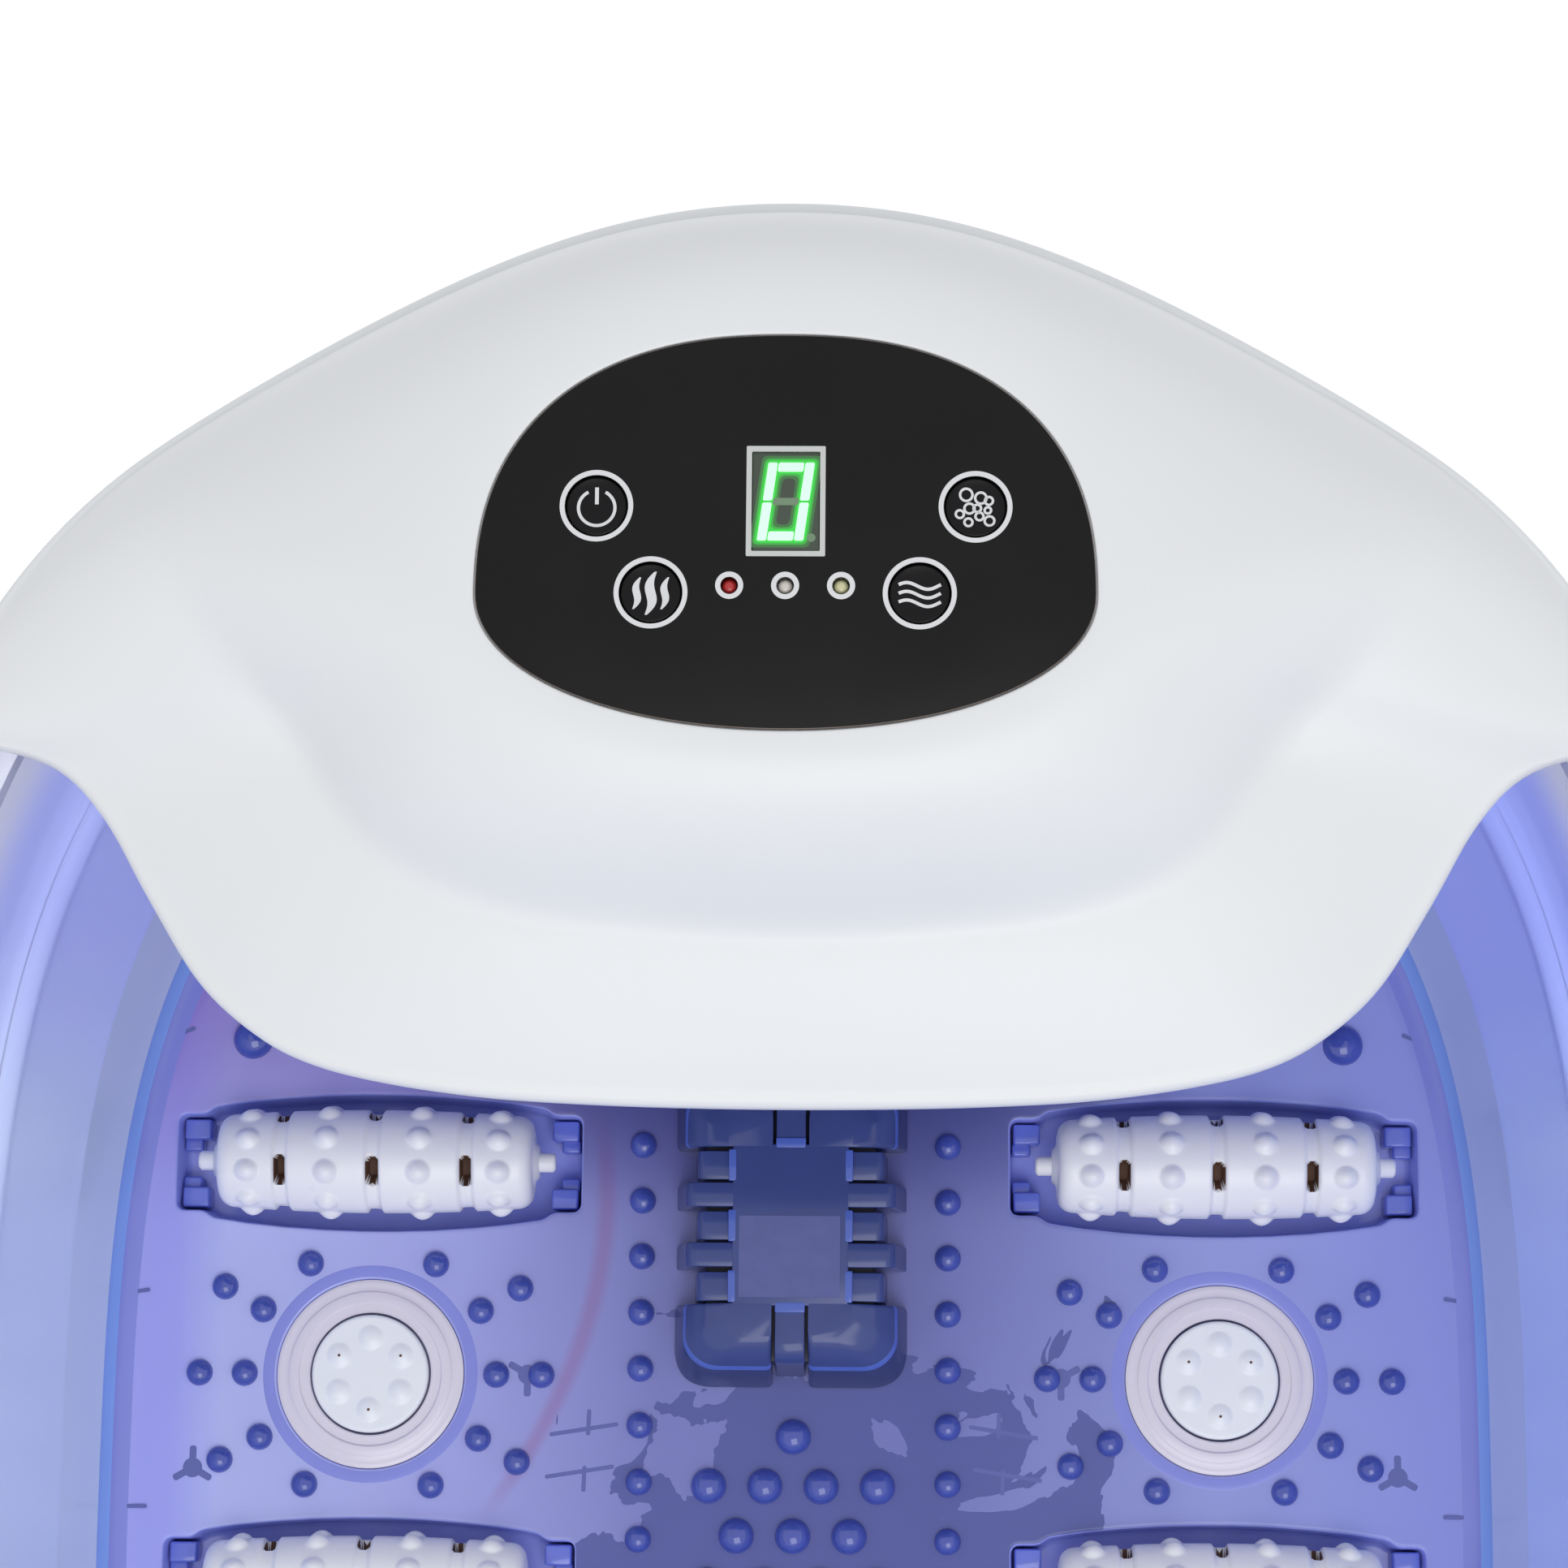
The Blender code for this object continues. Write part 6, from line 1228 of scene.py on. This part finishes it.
def make_panel():
    add_piece("overlay_sheet", overlay_mesh(), "panel_black panel_edge panel_print display_bezel",
              "control_overlay", sharp=40)
    for icon, (name, centre) in zip((power_icon, bubble_icon, steam_icon, wave_icon), BUTTONS.items()):
        prints = icon(centre)
        mesh = merged([turned(cap_profile(), 72, centre)] + prints, [0] + [1] * len(prints))
        add_piece(f"{name}_cap", mesh, "button_cap panel_print", f"{name}_button",
                  f"{name}_button", sharp=35)
    for name, (x, kind) in LAMPS.items():
        add_piece(f"{name}_lamp_dome", turned(lamp_profile(), 40, (x, LED_Y)), f"lamp_{kind}",
                  f"{name}_lamp", sharp=40)
    add_piece("digit_display_face", display_mesh(),
              "display_window display_halo display_lit display_unlit display_glow display_shine",
              "digit_display", sharp=30)


# Base and solids

def pan_mesh():
    """Smooth outer shell of the base with a rounded foot."""
    top, foot = FLOOR_Z + 13, FOOT_Z + 0.3
    wide, taper, fillet = 5.956, 7, 9
    steps = [(wide - taper - fillet + out, foot + rise) for out, rise in quarter(fillet, 6)]
    steps += [(wide - taper * (1 - share), foot + fillet + (top - foot - fillet) * share)
              for share in shares(8)[1:]]
    return loft([outline(wall_sizes(top), grow, height) for grow, height in steps], caps=(1, 0))


def dress_solids():
    """Give every solid that stays in view the material of what it is made of."""
    by_slot = dict(white_plastic="white_shell", blue_plastic="wall_blue", rubber="foot_rubber",
                   deep_blue_plastic="guard_blue", clear_plastic="hose_clear",
                   board="circuit_board", steel="plain_steel", brass="plain_brass",
                   display="display_window")
    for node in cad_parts.values():
        for slot in node.material_slots:
            name = slot.material.name.split(".")[0] if slot.material else ""
            material = bpy.data.materials.get(by_slot.get(name, name))
            if material:
                slot.material = material
            else:
                print("no material for", node.name, name)


# Stage

def make_camera():
    data = bpy.data.cameras.new("camera")
    data.lens = 88.51
    data.sensor_width = 36.0
    data.clip_start = 0.05
    data.clip_end = 20.0
    camera = new_object("camera", data)
    camera.matrix_world = Matrix.Translation((0.0159, -0.03445, 0.8888))
    for angle, axis in ((6.94, "Z"), (10.66, "X"), (-6.56, "Z")):
        camera.matrix_world = camera.matrix_world @ Matrix.Rotation(radians(angle), 4, axis)
    bpy.context.scene.camera = camera


def make_light():
    data = bpy.data.lights.new("front_key", "AREA")
    data.shape = "RECTANGLE"
    data.size = data.size_y = 0.9
    data.energy = 6.4
    light = new_object("front_key", data)
    light.location = (0.15, -0.68, 1.35)
    way = Vector((0, 0, 0.1)) - light.location
    light.rotation_euler = way.to_track_quat("-Z", "Y").to_euler()


def background_ray(tree):
    """1 for a ray that shows the background itself, by sight, reflection or transmission."""
    path = add_node("LightPath", {}, tree).outputs
    seen = calc("MAXIMUM", path["Is Camera Ray"], path["Is Glossy Ray"])
    return calc("MAXIMUM", seen, path["Is Transmission Ray"])


def make_stage():
    world = bpy.data.worlds.new("studio")
    bpy.context.scene.world = world
    world.use_nodes = True
    tree = world.node_tree
    tree.nodes.clear()
    fill = add_node("Background", {"Color": (0.975, 0.982, 1.0, 1), "Strength": 0.68}, tree)
    white = add_node("Background", {"Color": (1, 1, 1, 1)}, tree)
    mix = add_node("MixShader", {"Fac": background_ray(tree), 1: fill.outputs["Background"],
                                 2: white.outputs["Background"]})
    add_node("OutputWorld", {"Surface": mix.outputs["Shader"]})
    ground = new_object("ground", shape(circle(0, 0, 3.0, 0.0, 96), [tuple(range(96))]))
    shader = new_material("ground_white", Base_Color=(0.9, 0.9, 0.9, 1), Roughness=0.9,
                          Emission_Color=(1, 1, 1, 1))
    feed(shader, {"Emission Strength": times(background_ray(shader.id_data), 0.55)})
    grain(shader, 60.0, 0.05)
    ground.data.materials.append(bpy.data.materials["ground_white"])
    bpy.context.scene.view_settings.view_transform = "Standard"


def main():
    make_materials()
    dress_solids()
    make_camera()
    make_light()
    make_stage()
    make_basin()
    make_floor_details()
    make_rollers()
    make_discs()
    add_piece("heater_guard_cover", guard_mesh(),
              "guard_blue guard_side guard_edge guard_core guard_field",
              "heater_guard", sharp=40)
    add_piece("cover_shell", cover_mesh(), "white_shell", "top_cover", sharp=60,
              wall=2.4)
    make_panel()
    add_piece("base_shell", pan_mesh(), "base_white", "base_pan", sharp=50,
              wall=WALL)


main()
